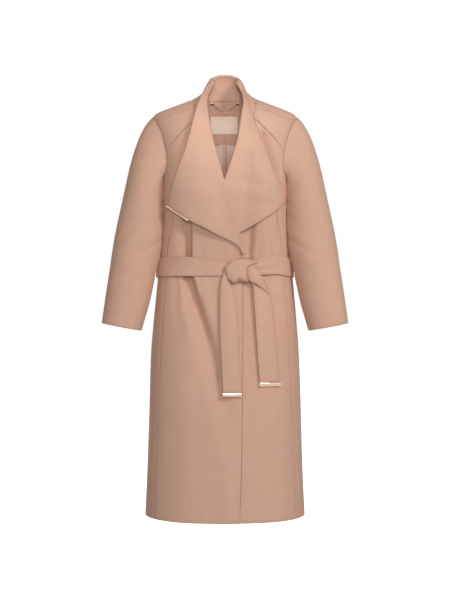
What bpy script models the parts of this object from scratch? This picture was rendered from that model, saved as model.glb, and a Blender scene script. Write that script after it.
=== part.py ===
"""Long belted wrap coat of wool cloth, filled out and hollow, as it hangs on a wearer's shoulders.

The front faces -Y and +Z is up. The origin is between the shoulders, 11 mm below the back neck seam.
Sizes in this file are millimetres, and MM turns them into metres when a mesh is made.
"Right" and "left" in names are the wearer's, so right is at -X.

Every piece of the body is cut out of one form. A point on the form has a girth angle in degrees
(0 at the centre front, 90 at the wearer's left side, 180 at the centre back) and a height.
"""

import math

import bpy
import numpy as np

MM = 0.001

# Driving sizes
CLOTH = 2.6
SEAM_GAP = 0.3
WAIST_HEIGHT = -450.0
BELT_WIDTH = 51.0
BELT_CLOTH = 3.0
BELT_LIFT = 0.9
BELT_HUMP = 4.0
BELT_PINCH = 16.0
KNOT_LIFT = 9.2
ROLL_RADIUS = 4.0
ROLL_GAP = 0.6
FOLD_FADE = 14.0
SLEEVE_TILT = 0.19
SLEEVE_CLEARANCE = 4.0
INSIDE_GAP = 0.6
LINING_CLOTH = 1.2
LABEL_CLOTH = 0.8
PLEAT_DEPTH = 2.2
BAR_THICKNESS = 6.0
CHAIN_RADIUS = 0.9
CHAIN_SAG = 17.0
CHAIN_STAND_OFF = 2.6
TAB_SPREAD = 37.0
TAB_HEIGHT = 1.0
TAB_LENGTH = 10.0
TAB_WIDTH = 5.0
TAB_THICKNESS = 1.6
TAB_STAND_OFF = 2.3
LABEL_LEFT = -41.0
LABEL_TOP = -27.0
LABEL_WIDTH = 77.0
LABEL_HEIGHT = 48.0
LABEL_STAND_OFF = 1.5
LOOP_ANGLE = 76.0
LOOP_HALF_WIDTH = 0.96
LOOP_CLOTH = 1.0

RIGHT = -1
LEFT = 1

# The form, from the hem up: height, half width, y of the widest line, front y, back y, squareness
FORM_ROWS = (
    (-1112, 216, 0, -150, 145, 2.20),
    (-1000, 211, 0, -145, 139, 2.20),
    (-850, 205, 0, -139, 131, 2.20),
    (-700, 200, 0, -130, 122, 2.25),
    (-600, 194, 0, -121, 112, 2.30),
    (-520, 187, 0, -107, 98, 2.35),
    (-450, 180, 0, -96, 86, 2.40),
    (-380, 176, 0, -105, 90, 2.40),
    (-300, 172, 0, -118, 98, 2.40),
    (-225, 172, 0, -126, 104, 2.40),
    (-130, 178, 0, -117, 105, 2.40),
    (-80, 190, 0, -100, 99, 2.35),
    (-52, 197, 0, -87, 93, 2.25),
    (-38, 187, 0, -78, 89, 2.20),
    (-24, 157, 2, -68, 83, 2.20),
    (-10, 120, 5, -56, 75, 2.20),
    (3, 84, 8, -44, 67, 2.20),
    (15, 63, 14, -31, 63, 2.20),
    (36, 46, 24, -12, 60, 2.20),
    (57, 33, 34, 10, 57, 2.20),
    (76, 25, 40, 26, 50, 2.20),
)

# Folds: panel, x and height at the start, x and height at the end, half widths, depths.
# A fold is deepest at its start and runs out softly past both ends.
FOLD_ROWS = (
    ("right front", -101, -322, -101, -440, 9, 11, 7, 11),
    ("right front", -100, -460, -34, -720, 10, 17, 11, 7),
    ("right front", -34, -720, 30, -900, 17, 26, 7, 1.5),
    ("right front", -128, -470, -122, -640, 10, 20, 4, 1),
    ("left front", 92, -365, 86, -440, 12, 12, 2, 5),
    ("left front", 108, -475, 112, -640, 12, 22, 5, 1),
    ("left front", 72, -470, 70, -560, 10, 14, 4, 1),
    ("back", -92, -330, -84, -440, 16, 10, 2, 6),
    ("back", -32, -365, -28, -440, 12, 9, 1, 5),
    ("back", 44, -345, 38, -440, 14, 10, 2, 6),
    ("back", 104, -360, 96, -440, 14, 11, 1, 5),
    ("back", -84, -460, -104, -700, 10, 26, 7, 2),
    ("back", -30, -460, -34, -600, 9, 20, 5, 1),
    ("back", 36, -460, 46, -760, 10, 28, 7, 2),
    ("back", 98, -460, 122, -640, 11, 22, 5, 1),
)

# Roll lines, where each front turns outward into its lapel: height, x
ROLL_ROWS = {
    RIGHT: (
        (-423, 42), (-330, 18), (-228, -8), (-124, -36), (-83, -44),
        (-12, -48), (12, -46), (36, -38), (57, -27),
    ),
    LEFT: (
        (-423, -65), (-330, -38), (-208, 10), (-153, 28), (-124, 37), (-46, 47),
        (-12, 50), (12, 48), (36, 40), (57, 29),
    ),
}
# Below the belt the fronts end in straight edges: height, x
FRONT_EDGE_ROWS = {
    RIGHT: ((-1112, 38), (-982, 43), (-795, 46), (-496, 47)),
    LEFT: ((-1112, -20), (-795, -20), (-600, -22), (-496, -44)),
}
# Free edges of the lapels, from the collar to the tip and back to the roll: x, height, lift
LAPEL_OUTER_ROWS = {
    RIGHT: ((-36, 58, 0), (-49, 37, 1), (-78, -57, 8), (-101, -141, 13), (-125, -204, 14), (-151, -289, 9)),
    LEFT: ((37, 58, 0), (49, 37, 1), (82, -62, 6), (125, -199, 8), (142, -234, 8), (157, -281, 6)),
}
LAPEL_LOWER_ROWS = {
    RIGHT: (
        (-151, -289, 9), (-92, -330, 11), (-62, -347, 12), (-22, -368, 12), (14, -392, 9), (36, -418, 2),
    ),
    LEFT: ((157, -281, 6), (125, -311, 5), (78, -341, 3), (40, -362, 0), (-8, -388, 0), (-52, -418, 0)),
}

# Seams on one side, mirrored for the other
SIDE_FRONT_ROWS = (
    (-1112, 188), (-850, 178), (-640, 169), (-480, 158),
    (-406, 154), (-311, 137), (-250, 143), (-194, 156),
)
SIDE_BACK_ROWS = ((-1112, 150), (-850, 142), (-620, 132), (-450, 118), (-300, 132), (-194, 158))
SHOULDER_POINTS = ((79, -31), (102, -34), (132, -43), (173, -57), (187, -58))
YOKE_ARMHOLE_POINTS = ((187, -58), (173, -86), (165, -110), (157, -145))
FRONT_ARMHOLE_POINTS = ((157, -145), (154.5, -170), (156, -194))
BACK_ARMHOLE_POINTS = ((158, -196), (151, -150), (155, -105), (172, -72), (186, -54))
COLLAR_FRONT_POINTS = ((61, -38), (73, -55))
COLLAR_NECK_POINTS = ((73, -55), (77, -43), (79, -31))
NECK_FRONT_POINTS = ((79, -31), (81, -20), (83, -8))
BACK_NECK_POINTS = ((76, 4), (50, 8), (0, 11))
# The same, but with girth angles in place of x
UNDERARM_POINTS = ((74, -214), (90, -228), (107, -214))
ARMHOLE_RIDGE_POINT = (90, -44)
NECK_RIDGE_POINT = (90, 3)
COLLAR_CROWN_POINTS = ((118, 70), (148, 75), (180, 76))

# Heights of the rows of points below the armholes
BODY_LEVELS = (
    -1112, -1040, -960, -880, -805, -735, -670, -610, -555, -510, -480,
    -452, -418, -392, -352, -308, -262, -228, -194,
)
UPPER_ROWS = 6
COLLAR_STEPS = 4
BELT_STEPS = 48
DIAGONAL_STEPS = 10
NECK_STEPS = 5
FACING_ROWS = 2
FACING_COLUMNS = 3
LAPEL_END_HEIGHT = -418
LAPEL_COLUMNS = 9
LAPEL_ROLL_STEPS = 4
SIDE_CORNER_HEIGHT = -262
LINING_END_HEIGHT = -262
TAIL_ROWS = 13
TAIL_COLUMNS = 4
CHAIN_POINTS = 17
SPINE_LEVELS = (-194, -148, -102, -60, -24, 11)
COLLAR_LEVELS = (-22, -8, 8, 24, 40, 54)

# Sleeve tube, from the armhole to the cuff: height, outer x, inner x, centre y, half depth
SLEEVE_ROWS = (
    (-236, 264, 156, -20, 66),
    (-300, 277, 160, -28, 62),
    (-380, 293, 168, -35, 58),
    (-450, 306, 184, -40, 54),
    (-530, 320, 202, -45, 50),
    (-608, 331, 225, -50, 46),
)
SLEEVE_HEAD_STEPS = 5
SLEEVE_TUBE_STEPS = 8

# Belt ends that hang from the knot: height, left x, right x, lift
RIGHT_TAIL_ROWS = (
    (-466, 6, 26, 4.7), (-502, -14, 24, 4.7), (-548, -17, 28, 6.5),
    (-620, -15, 32, 7), (-700, -11, 37, 6), (-775, -5, 41, 5),
)
LEFT_TAIL_ROWS = (
    (-448, 58, 80, 4.7), (-494, 66, 100, 4.7), (-520, 73, 113, 6),
    (-548, 76, 122, 7), (-620, 80, 131, 7), (-750, 89, 140, 5),
)
BAR_HEIGHT = 11.0
BAR_OVERHANG = 1.5
LAPEL_BAR_LENGTH = 69.0
LAPEL_BAR_WIDTH = 5.0

# Front outline of the knot: x, height
KNOT_POINTS = (
    (-4, -460), (4, -451), (18, -438), (34, -432), (51, -430), (66, -436), (76, -446),
    (74, -462), (68, -478), (62, -487), (44, -487), (24, -496), (10, -482),
)
# Rings of the knot from its back to its front: size, lift
KNOT_RINGS = ((0.5, 0.0), (0.94, 0.0), (1.0, 5.0), (0.98, 11.0), (0.88, 15.5), (0.62, 18.0))
KNOT_DEPTH = 19.0

CLOTH_COLOUR = (0.67, 0.40, 0.29)
CLOTH_ROUGHNESS = 0.85
LINING_COLOUR = (0.60, 0.33, 0.23)
LABEL_COLOUR = (0.98, 0.73, 0.58)
METAL_COLOUR = (0.92, 0.68, 0.52)
METAL_ROUGHNESS = 0.25
LINING_ROUGHNESS = 0.4
LABEL_ROUGHNESS = 0.5


def smooth_table(rows, at):
    """Values of a table's other columns at a value of its first, on smooth curves with no overshoot."""
    table = np.array(rows, float)
    table = table[np.argsort(table[:, 0], kind="stable")]
    key, values = table[:, 0], table[:, 1:]
    slopes = np.diff(values, axis=0) / np.diff(key)[:, None]
    tangents = np.vstack([slopes[:1], np.zeros_like(slopes[1:]), slopes[-1:]])
    product = slopes[1:] * slopes[:-1]
    total = np.where(product > 0, slopes[1:] + slopes[:-1], 1.0)
    tangents[1:-1] = np.where(product > 0, 2 * product / total, 0.0)
    at = np.asarray(at, float)
    i = np.clip(np.searchsorted(key, at) - 1, 0, len(key) - 2)
    width = (key[i + 1] - key[i])[..., None]
    t = ((at - key[i])[..., None]) / width
    start = (2 * t**3 - 3 * t**2 + 1) * values[i] + (t**3 - 2 * t**2 + t) * width * tangents[i]
    end = (3 * t**2 - 2 * t**3) * values[i + 1] + (t**3 - t**2) * width * tangents[i + 1]
    return start + end


def smooth_step(value):
    """0 below 0, 1 above 1 and a soft ramp between them."""
    t = np.clip(value, 0.0, 1.0)
    return t * t * (3 - 2 * t)


def section(height):
    """Half width, side y, front y, back y and squareness of the form at a height."""
    return np.moveaxis(smooth_table(FORM_ROWS, height), -1, 0)


def form_point(grid):
    """Points on the bare form, from girth angles and heights."""
    angle, height = np.radians(grid[..., 0]), grid[..., 1]
    half_width, side_y, front_y, back_y, squareness = section(height)
    across, along = np.sin(angle), np.cos(angle)
    x = half_width * np.sign(across) * np.abs(across) ** (2 / squareness)
    reach = np.where(along > 0, front_y, back_y) - side_y
    y = side_y + reach * np.abs(along) ** (2 / squareness)
    return np.stack([x, y, height], axis=-1)


def form_normal(grid):
    """Outward directions of the form."""
    turn = np.array([0.5, 0.0])
    rise = np.array([0.0, 1.0])
    around = form_point(grid + turn) - form_point(grid - turn)
    upward = form_point(grid + rise) - form_point(grid - rise)
    normal = np.cross(around, upward)
    return normal / np.linalg.norm(normal, axis=-1, keepdims=True)


def girth(x, height, back=False):
    """Girth angle of the form's point with this x, on its front or its back."""
    half_width, _, _, _, squareness = section(height)
    ratio = np.clip(np.abs(x) / half_width, 0, 1) ** (squareness / 2)
    angle = np.degrees(np.arcsin(ratio)) * np.sign(x)
    if back:
        return np.where(np.asarray(x) < 0, -180.0, 180.0) - angle
    return angle


def fold_depth(grid, panel):
    """How far a panel's folds sink its cloth below the form."""
    points = form_point(grid)
    depth = np.zeros(grid.shape[:-1])
    rows = [row[1:] for row in FOLD_ROWS if row[0] == panel]
    for start_x, start_z, end_x, end_z, start_width, end_width, start_depth, end_depth in rows:
        t = (points[..., 2] - start_z) / (end_z - start_z)
        inside = np.clip(t, 0, 1)
        fade = np.exp(-(((t - inside) * abs(end_z - start_z) / FOLD_FADE) ** 2))
        centre = start_x + (end_x - start_x) * t
        width = start_width + (end_width - start_width) * inside
        bottom = start_depth + (end_depth - start_depth) * inside
        trough = np.exp(-(((points[..., 0] - centre) / width) ** 2))
        depth = np.maximum(depth, fade * bottom * trough)
    return depth


def on_form(grid, offset, panel=None):
    """Points at a distance outside the form, sunk by the folds of the named panel."""
    rise = np.asarray(offset) - fold_depth(grid, panel)
    return form_point(grid) + form_normal(grid) * rise[..., None]


def placed(x, height, lift):
    """Grid points whose lifted points have this x and height, on the front."""
    grid = np.stack(np.broadcast_arrays(girth(x, height), height), axis=-1).astype(float)
    near_x, near_z = np.array(x, float), np.array(height, float)
    for _ in range(4):
        reached = on_form(grid, lift)
        near_x = near_x + 0.8 * (x - reached[..., 0])
        near_z = near_z + 0.8 * (height - reached[..., 2])
        grid = np.stack([girth(near_x, near_z), near_z], axis=-1)
    return grid


def resample(points, count):
    """The same curve with evenly spaced points, from chord lengths on the form."""
    points = np.asarray(points, float)
    steps = np.linalg.norm(np.diff(form_point(points), axis=0), axis=1)
    reach = np.concatenate([[0.0], np.cumsum(steps)])
    return smooth_table(np.column_stack([reach, points]), np.linspace(0, reach[-1], count))


def front_points(points, side):
    """Points on the front of one side, from x and height."""
    return np.array([(side * float(girth(x, z)), z) for x, z in points])


def back_points(points, side):
    """Points on the back of one side, from x and height."""
    return np.array([(side * float(girth(x, z, back=True)), z) for x, z in points])


def seam_at(rows, side, heights, back=False):
    """A seam's points at these heights."""
    heights = np.asarray(heights, float)
    x = smooth_table(rows, heights)[:, 0]
    return np.column_stack([side * girth(x, heights, back), heights])


def front_edge(side, heights):
    """The roll line above the belt and the straight edge below it."""
    rows = FRONT_EDGE_ROWS[side] + ROLL_ROWS[side]
    return seam_at(rows, 1, heights)


def ruled(first, last, columns):
    """Rows of points between two curves with the same number of points."""
    u = np.linspace(0, 1, columns)[None, :, None]
    return first[:, None] * (1 - u) + last[:, None] * u


def coons(bottom, top, first, last):
    """A grid between four curves: bottom and top run from first to last."""
    u = np.linspace(0, 1, len(bottom))[None, :, None]
    v = np.linspace(0, 1, len(first))[:, None, None]
    across = (1 - v) * bottom[None] + v * top[None]
    along = (1 - u) * first[:, None] + u * last[:, None]
    low = (1 - u) * bottom[0] + u * bottom[-1]
    high = (1 - u) * top[0] + u * top[-1]
    return across + along - (1 - v) * low - v * high


def pulled_in(grid, distance):
    """The grid with its edge points moved inward, which leaves the gap at a seam."""
    moved = grid.copy()
    for axis in (0, 1):
        rows = np.moveaxis(moved, axis, 0)
        for edge, inner in ((0, 1), (-1, -2)):
            step = rows[inner] - rows[edge]
            length = np.maximum(np.linalg.norm(step, axis=-1, keepdims=True), 1e-6)
            rows[edge] += step / length * np.minimum(distance, length / 3)
    return moved


def grid_normals(points, around=False):
    """Directions square to a grid of points: rows run along axis 0."""
    if around:
        across = np.roll(points, -1, axis=1) - np.roll(points, 1, axis=1)
    else:
        across = np.gradient(points, axis=1)
    normal = np.cross(across, np.gradient(points, axis=0))
    return normal / np.maximum(np.linalg.norm(normal, axis=-1, keepdims=True), 1e-9)


def angle_points(points, side):
    """Points on one side, from girth angle and height."""
    return np.array([(side * angle, height) for angle, height in points], float)


def material(name, colour, roughness, metallic=0.0):
    """The material of this name, made when first asked for."""
    made = bpy.data.materials.get(name) or bpy.data.materials.new(name)
    made.use_nodes = True
    shader = made.node_tree.nodes["Principled BSDF"]
    shader.inputs["Base Color"].default_value = (*colour, 1.0)
    shader.inputs["Roughness"].default_value = roughness
    shader.inputs["Metallic"].default_value = metallic
    return made


def coat_cloth():
    """The coat's wool."""
    return material("coat_cloth", CLOTH_COLOUR, CLOTH_ROUGHNESS)


def rose_metal():
    """The metal of the bars, tabs and chain."""
    return material("rose_metal", METAL_COLOUR, METAL_ROUGHNESS, 1.0)


def signed_volume(points, faces):
    """Six times the volume inside the faces, below 0 where they point in."""
    total = 0.0
    for face in faces:
        for k in range(1, len(face) - 1):
            total += np.dot(points[face[0]], np.cross(points[face[k]], points[face[k + 1]]))
    return total


def add_solid(name, points, faces, finish, smooth=True):
    """A mesh object from points in millimetres, with its faces pointing out."""
    points = np.asarray(points, float)
    if signed_volume(points, faces) < 0:
        faces = [(face[0], *reversed(face[1:])) for face in faces]
    mesh = bpy.data.meshes.new(name)
    mesh.from_pydata((points * MM).tolist(), [], faces)
    mesh.materials.append(finish)
    if smooth:
        mesh.shade_smooth()
        mesh.set_sharp_from_angle(angle=math.radians(50))
    solid = bpy.data.objects.new(name, mesh)
    bpy.context.scene.collection.objects.link(solid)
    return solid


def split(points, corners):
    """Two triangles over four points, cut along the shorter diagonal, as on the piece next to it."""
    a, b, c, d = corners
    if np.linalg.norm(points[a] - points[c]) <= np.linalg.norm(points[b] - points[d]):
        return [(a, b, c), (a, c, d)]
    return [(a, b, d), (b, c, d)]


def add_wall(name, outer, inner, finish):
    """A wall between two grids of points, closed along its edges."""
    rows, columns = outer.shape[:2]
    inside = rows * columns
    points = np.vstack([outer.reshape(-1, 3), inner.reshape(-1, 3)])
    faces = []
    for i in range(rows - 1):
        for j in range(columns - 1):
            a, d = i * columns + j, (i + 1) * columns + j
            for face in split(points, (a, a + 1, d + 1, d)):
                faces.append(face)
                faces.append(tuple(inside + point for point in reversed(face)))
    rim = list(range(columns - 1))
    rim += [i * columns + columns - 1 for i in range(rows - 1)]
    rim += [(rows - 1) * columns + j for j in range(columns - 1, 0, -1)]
    rim += [i * columns for i in range(rows - 1, 0, -1)]
    for a, b in zip(rim, rim[1:] + rim[:1]):
        faces += split(points, (b, a, inside + a, inside + b))
    return add_solid(name, points, faces, finish)


def cut_panel(name, grid, finish, offset=0.0, thickness=CLOTH, folds=None):
    """A panel cut from the form, with a wall of the given thickness inside its offset."""
    outer = on_form(grid, offset, folds)
    inner = on_form(grid, np.asarray(offset) - thickness, folds)
    add_wall(name, pulled_in(outer, SEAM_GAP / 2), pulled_in(inner, SEAM_GAP / 2), finish)


def armhole_parts(side):
    """The armhole in four stretches: along the yoke, the front, the side panel and the back."""
    yoke = resample(front_points(YOKE_ARMHOLE_POINTS, side), 5)
    front = resample(front_points(FRONT_ARMHOLE_POINTS, side), UPPER_ROWS + 1)
    start = front_points([FRONT_ARMHOLE_POINTS[-1]], side)
    end = back_points([BACK_ARMHOLE_POINTS[0]], side)
    below = resample(np.vstack([start, angle_points(UNDERARM_POINTS, side), end]), 6)
    top = front_points([SHOULDER_POINTS[-1]], side)
    ridge = angle_points([ARMHOLE_RIDGE_POINT], side)
    behind = np.vstack([back_points(BACK_ARMHOLE_POINTS, side), ridge, top])
    return yoke, front, below, resample(behind, len(SPINE_LEVELS) + NECK_STEPS)


def shoulder_seam(side):
    """From the neck to the shoulder tip."""
    return resample(front_points(SHOULDER_POINTS, side), DIAGONAL_STEPS + 1)


def neckline(side):
    """From the shoulder seam over the ridge to the centre back."""
    start = front_points(NECK_FRONT_POINTS, side)
    ridge = angle_points([NECK_RIDGE_POINT], side)
    return resample(np.vstack([start, ridge, back_points(BACK_NECK_POINTS, side)]), NECK_STEPS + 1)


def under_front_depth(grid):
    """How far the wearer's left front sinks where the right front and its own lapel lie on it."""
    points = form_point(grid)
    below_belt = smooth_step((-400 - points[..., 2]) / 35)
    above = smooth_step((-110 - points[..., 2]) / 90)
    hidden = smooth_step((46 - points[..., 0]) / 66)
    room = 11.5 * above * (1 - below_belt) + (4.8 + 8.0 * hidden) * below_belt
    return room * smooth_step((104 - points[..., 0]) / 56)


def diagonal_seam(side):
    """From the neck seam to the armhole."""
    start = front_points([COLLAR_FRONT_POINTS[-1]], side)[0]
    end = front_points([FRONT_ARMHOLE_POINTS[0]], side)[0]
    return np.linspace(start, end, DIAGONAL_STEPS + 1)


def collar_front_seam(side):
    """From the roll line to the diagonal seam, where the collar meets the front."""
    start = front_edge(side, COLLAR_LEVELS[:1])
    return resample(np.vstack([start, front_points(COLLAR_FRONT_POINTS, side)]), COLLAR_STEPS + 1)


def add_front(name, side):
    """A front, from its free edge to the side seam, up to the diagonal seam."""
    levels = BODY_LEVELS
    _, armhole, _, _ = armhole_parts(side)
    top = np.vstack([collar_front_seam(side), diagonal_seam(side)[1:]])
    lower = ruled(front_edge(side, levels), seam_at(SIDE_FRONT_ROWS, side, levels), len(top))
    upper_levels = np.linspace(levels[-1], COLLAR_LEVELS[0], UPPER_ROWS + 1)
    upper = coons(lower[-1], top, front_edge(side, upper_levels), armhole[::-1])
    grid = np.vstack([lower, upper[1:]])
    if side == LEFT:
        cut_panel(name, grid, coat_cloth(), -under_front_depth(grid), folds="left front")
    else:
        cut_panel(name, grid, coat_cloth(), folds="right front")


def add_yoke(name, side):
    """The shoulder panel above the diagonal seam."""
    armhole, _, _, _ = armhole_parts(side)
    bottom = diagonal_seam(side)
    top = shoulder_seam(side)
    neck = resample(front_points(COLLAR_NECK_POINTS, side), len(armhole))
    cut_panel(name, coons(bottom, top, neck, armhole[::-1]), coat_cloth())


def add_side_panel(name, side):
    """The panel under the arm, from the hem to the armhole."""
    levels = BODY_LEVELS
    _, _, below, _ = armhole_parts(side)
    front = seam_at(SIDE_FRONT_ROWS, side, levels)
    back = seam_at(SIDE_BACK_ROWS, side, levels, back=True)
    back[-1] = below[-1]
    corner = levels.index(SIDE_CORNER_HEIGHT)
    lower = ruled(front[: corner + 1], back[: corner + 1], len(below))
    upper = coons(lower[-1], below, front[corner:], back[corner:])
    cut_panel(name, np.vstack([lower, upper[1:]]), coat_cloth())


def back_grid(side):
    """Half of the back, from the centre back seam to the side seam, armhole, shoulder and neck."""
    levels = BODY_LEVELS
    _, _, _, armhole = armhole_parts(side)
    seam = seam_at(SIDE_BACK_ROWS, side, levels, back=True)
    seam[-1] = armhole[0]
    centre = np.column_stack([np.full(len(levels), side * 180.0), levels])
    top = shoulder_seam(side)
    lower = ruled(centre, seam, len(top))
    spine = np.array([(side * 180.0, height) for height in SPINE_LEVELS])
    upper = coons(lower[-1], top, np.vstack([spine, neckline(side)[::-1][1:]]), armhole)
    return np.vstack([lower, upper[1:]])


def inner_back_grid(first, last):
    """The middle of the back across both halves, between two rows of its points."""
    left = back_grid(LEFT)[first : last + 1, : FACING_COLUMNS + 1]
    right = back_grid(RIGHT)[first : last + 1, 1 : FACING_COLUMNS + 1]
    right[..., 0] += 360.0
    return np.concatenate([left[:, ::-1], right], axis=1)


def add_collar():
    """The stand: from one front, round the back of the neck, to the other front."""
    halves = []
    for side in (LEFT, RIGHT):
        neck = resample(front_points(COLLAR_NECK_POINTS, side), 4)
        base = np.vstack([neck, neckline(side)[1:]])
        rise = front_edge(side, COLLAR_LEVELS)
        crown = np.vstack([rise[-1:], angle_points(COLLAR_CROWN_POINTS, side)])
        top = np.vstack([rise, resample(crown, len(base) - len(rise) + 1)[1:]])
        front = collar_front_seam(side)[::-1]
        centre = np.linspace(base[-1], top[-1], len(front))
        halves.append(coons(base, top, front, centre))
    left, right = halves
    right = right[:, ::-1].copy()
    right[..., 0] += 360.0
    cut_panel("collar", np.concatenate([left, right[:, 1:]], axis=1), coat_cloth())


def lapel_levels():
    """Heights of a lapel's rows of points, from the collar down."""
    upper = np.linspace(COLLAR_LEVELS[0], BODY_LEVELS[-1], UPPER_ROWS + 1)
    lower = [z for z in reversed(BODY_LEVELS) if LAPEL_END_HEIGHT <= z < BODY_LEVELS[-1]]
    return np.concatenate([COLLAR_LEVELS[:0:-1], upper, lower])


def flap_grid(side, columns):
    """x, height and lift over a lapel's flap, between its roll line and its free edge."""
    levels = lapel_levels()
    count = len(levels)
    roll_x = smooth_table(FRONT_EDGE_ROWS[side] + ROLL_ROWS[side], levels)[:, 0]
    roll = np.column_stack([roll_x, levels, np.zeros(count)])
    outer = np.array(LAPEL_OUTER_ROWS[side], float)
    lower = np.array(LAPEL_LOWER_ROWS[side], float)
    outer_reach = np.concatenate([[0], np.cumsum(np.linalg.norm(np.diff(outer[:, :2], axis=0), axis=1))])
    lower_reach = np.concatenate([[0], np.cumsum(np.linalg.norm(np.diff(lower[:, :2], axis=0), axis=1))])
    edge = smooth_table(np.column_stack([outer_reach, outer]), np.linspace(0, outer_reach[-1], count))
    u = np.linspace(0, 1, columns)
    hem = smooth_table(np.column_stack([lower_reach, lower]), (1 - u) * lower_reach[-1])
    hem[0] = roll[-1]
    head = roll[0] * (1 - u[:, None]) + edge[0] * u[:, None]
    return coons(head, hem, roll, edge), u


def add_lapel(name, side):
    """A lapel: the cloth rolls outward at the front's edge and lies back over the front."""
    flap, u = flap_grid(side, LAPEL_COLUMNS)
    edge = np.stack([girth(flap[:, 0, 0], flap[:, 0, 1]), flap[:, 0, 1]], axis=-1)
    sink = under_front_depth(edge) if side == LEFT else 0.0
    shift = on_form(edge, -CLOTH / 2 - sink)[:, [0, 2]] - flap[:, 0, :2]
    flap[..., :2] += shift[:, None] * (1 - u)[None, :, None]
    along = np.gradient(flap[:, 0, :2], axis=0)
    outward = np.column_stack([along[:, 1], -along[:, 0]]) * side
    outward /= np.linalg.norm(outward, axis=-1, keepdims=True)
    turn = np.linspace(0, math.pi, LAPEL_ROLL_STEPS + 1)[:-1]
    turn = np.concatenate([[0.0], turn])
    reach = ROLL_RADIUS * np.sin(turn) + np.where(np.arange(len(turn)) > 0, 1.0, 0.0)
    roll = np.zeros((len(flap), len(turn), 3))
    roll[..., :2] = flap[:, 0:1, :2] + outward[:, None] * reach[None, :, None]
    roll[..., 2] = ROLL_RADIUS * (1 - np.cos(turn)) - CLOTH / 2
    body = flap.copy()
    body[..., 2] = 2 * ROLL_RADIUS - CLOTH / 2 + flap[..., 2] * smooth_step(u)
    full = np.concatenate([roll, body], axis=1)
    lift = full[..., 2]
    if side == LEFT:
        below = np.stack([girth(full[..., 0], full[..., 1]), full[..., 1]], axis=-1)
        lift = lift - under_front_depth(below)
    grid = placed(full[..., 0], full[..., 1], lift)
    grid[:, 0] = edge
    middle = on_form(grid, lift)
    normal = grid_normals(middle)
    normal *= np.sign(np.sum(normal[:, -1] * form_normal(grid[:, -1]), axis=-1))[:, None, None]
    normal[:, 0] = -form_normal(grid[:, 0])
    outer = pulled_in(middle + normal * CLOTH / 2, ROLL_GAP)
    inner = pulled_in(middle - normal * CLOTH / 2, ROLL_GAP)
    add_wall(name, outer, inner, coat_cloth())


def sleeve_ring(side, height, turn):
    """A ring of the sleeve tube, kept clear of the body beside it."""
    outer_x, inner_x, centre_y, half_depth = smooth_table(SLEEVE_ROWS, height)
    half_width = (outer_x - inner_x) / 2
    x = (outer_x + inner_x) / 2 + half_width * np.cos(turn)
    y = centre_y - half_depth * np.sin(turn)
    z = height + (x - (outer_x + inner_x) / 2) * SLEEVE_TILT
    body_width, _, front_y, back_y, squareness = section(z)
    reach = np.abs(y / np.where(y < 0, front_y, back_y))
    widest = body_width + BELT_CLOTH + SLEEVE_CLEARANCE + 1.0
    side_x = widest * np.clip(1 - reach**squareness, 0, 1) ** (1 / squareness)
    return np.column_stack([side * np.maximum(x, side_x), y, z])


def add_sleeve(prefix, side):
    """A two-piece sleeve: the upper piece is the outside and the under piece faces the body."""
    yoke, front, below, back = armhole_parts(side)
    ring = np.vstack([yoke, front[1:], below[1:], back[1:-1]])
    flush = on_form(ring, -CLOTH / 2)
    under_arm = smooth_step((-80 - ring[:, 1]) / 110)
    turned = smooth_step((-40 - ring[:, 1]) / 60)
    inward = flush.mean(axis=0) - flush
    normal = form_normal(ring)
    inward -= normal * np.sum(inward * normal, axis=1, keepdims=True)
    inward /= np.linalg.norm(inward, axis=1, keepdims=True)
    start = flush + inward * (0.5 + 1.5 * turned)[:, None]
    start += normal * ((CLOTH + SEAM_GAP) * under_arm)[:, None]
    steps = np.linalg.norm(np.roll(start, -1, axis=0) - start, axis=1)
    reach = np.concatenate([[0.0], np.cumsum(steps)])
    crown = reach[len(ring) - 2]
    turn = 2 * math.pi * (reach[:-1] - crown + reach[-1]) / reach[-1]
    first = sleeve_ring(side, SLEEVE_ROWS[0][0], turn)
    chord = np.linalg.norm(first - start, axis=1, keepdims=True)
    leave = chord * np.array([side * 0.55, 0.0, -0.40])
    arrive = chord * np.array([side * 0.19, -0.1, -1.0])
    rings = []
    for t in np.linspace(0, 1, SLEEVE_HEAD_STEPS + 1)[:-1]:
        rings.append(
            (2 * t**3 - 3 * t**2 + 1) * start + (t**3 - 2 * t**2 + t) * leave
            + (3 * t**2 - 2 * t**3) * first + (t**3 - t**2) * arrive
        )
    for height in np.linspace(SLEEVE_ROWS[0][0], SLEEVE_ROWS[-1][0], SLEEVE_TUBE_STEPS):
        rings.append(sleeve_ring(side, height, turn))
    middle = np.array(rings)
    normal = grid_normals(middle, around=True) * side
    outer, inner = middle + normal * CLOTH / 2, middle - normal * CLOTH / 2
    count = len(ring)
    front_seam = len(yoke) + len(front) + 1
    back_seam = count - 6
    under = list(range(front_seam, back_seam + 1))
    upper = [k % count for k in range(back_seam, count + front_seam + 1)]
    for piece, columns in (("upper", upper), ("under", under)):
        add_wall(
            f"sleeve_{piece}_{prefix}",
            pulled_in(outer[:, columns], SEAM_GAP / 2 + 0.1),
            pulled_in(inner[:, columns], SEAM_GAP / 2 + 0.1),
            coat_cloth(),
        )


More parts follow.
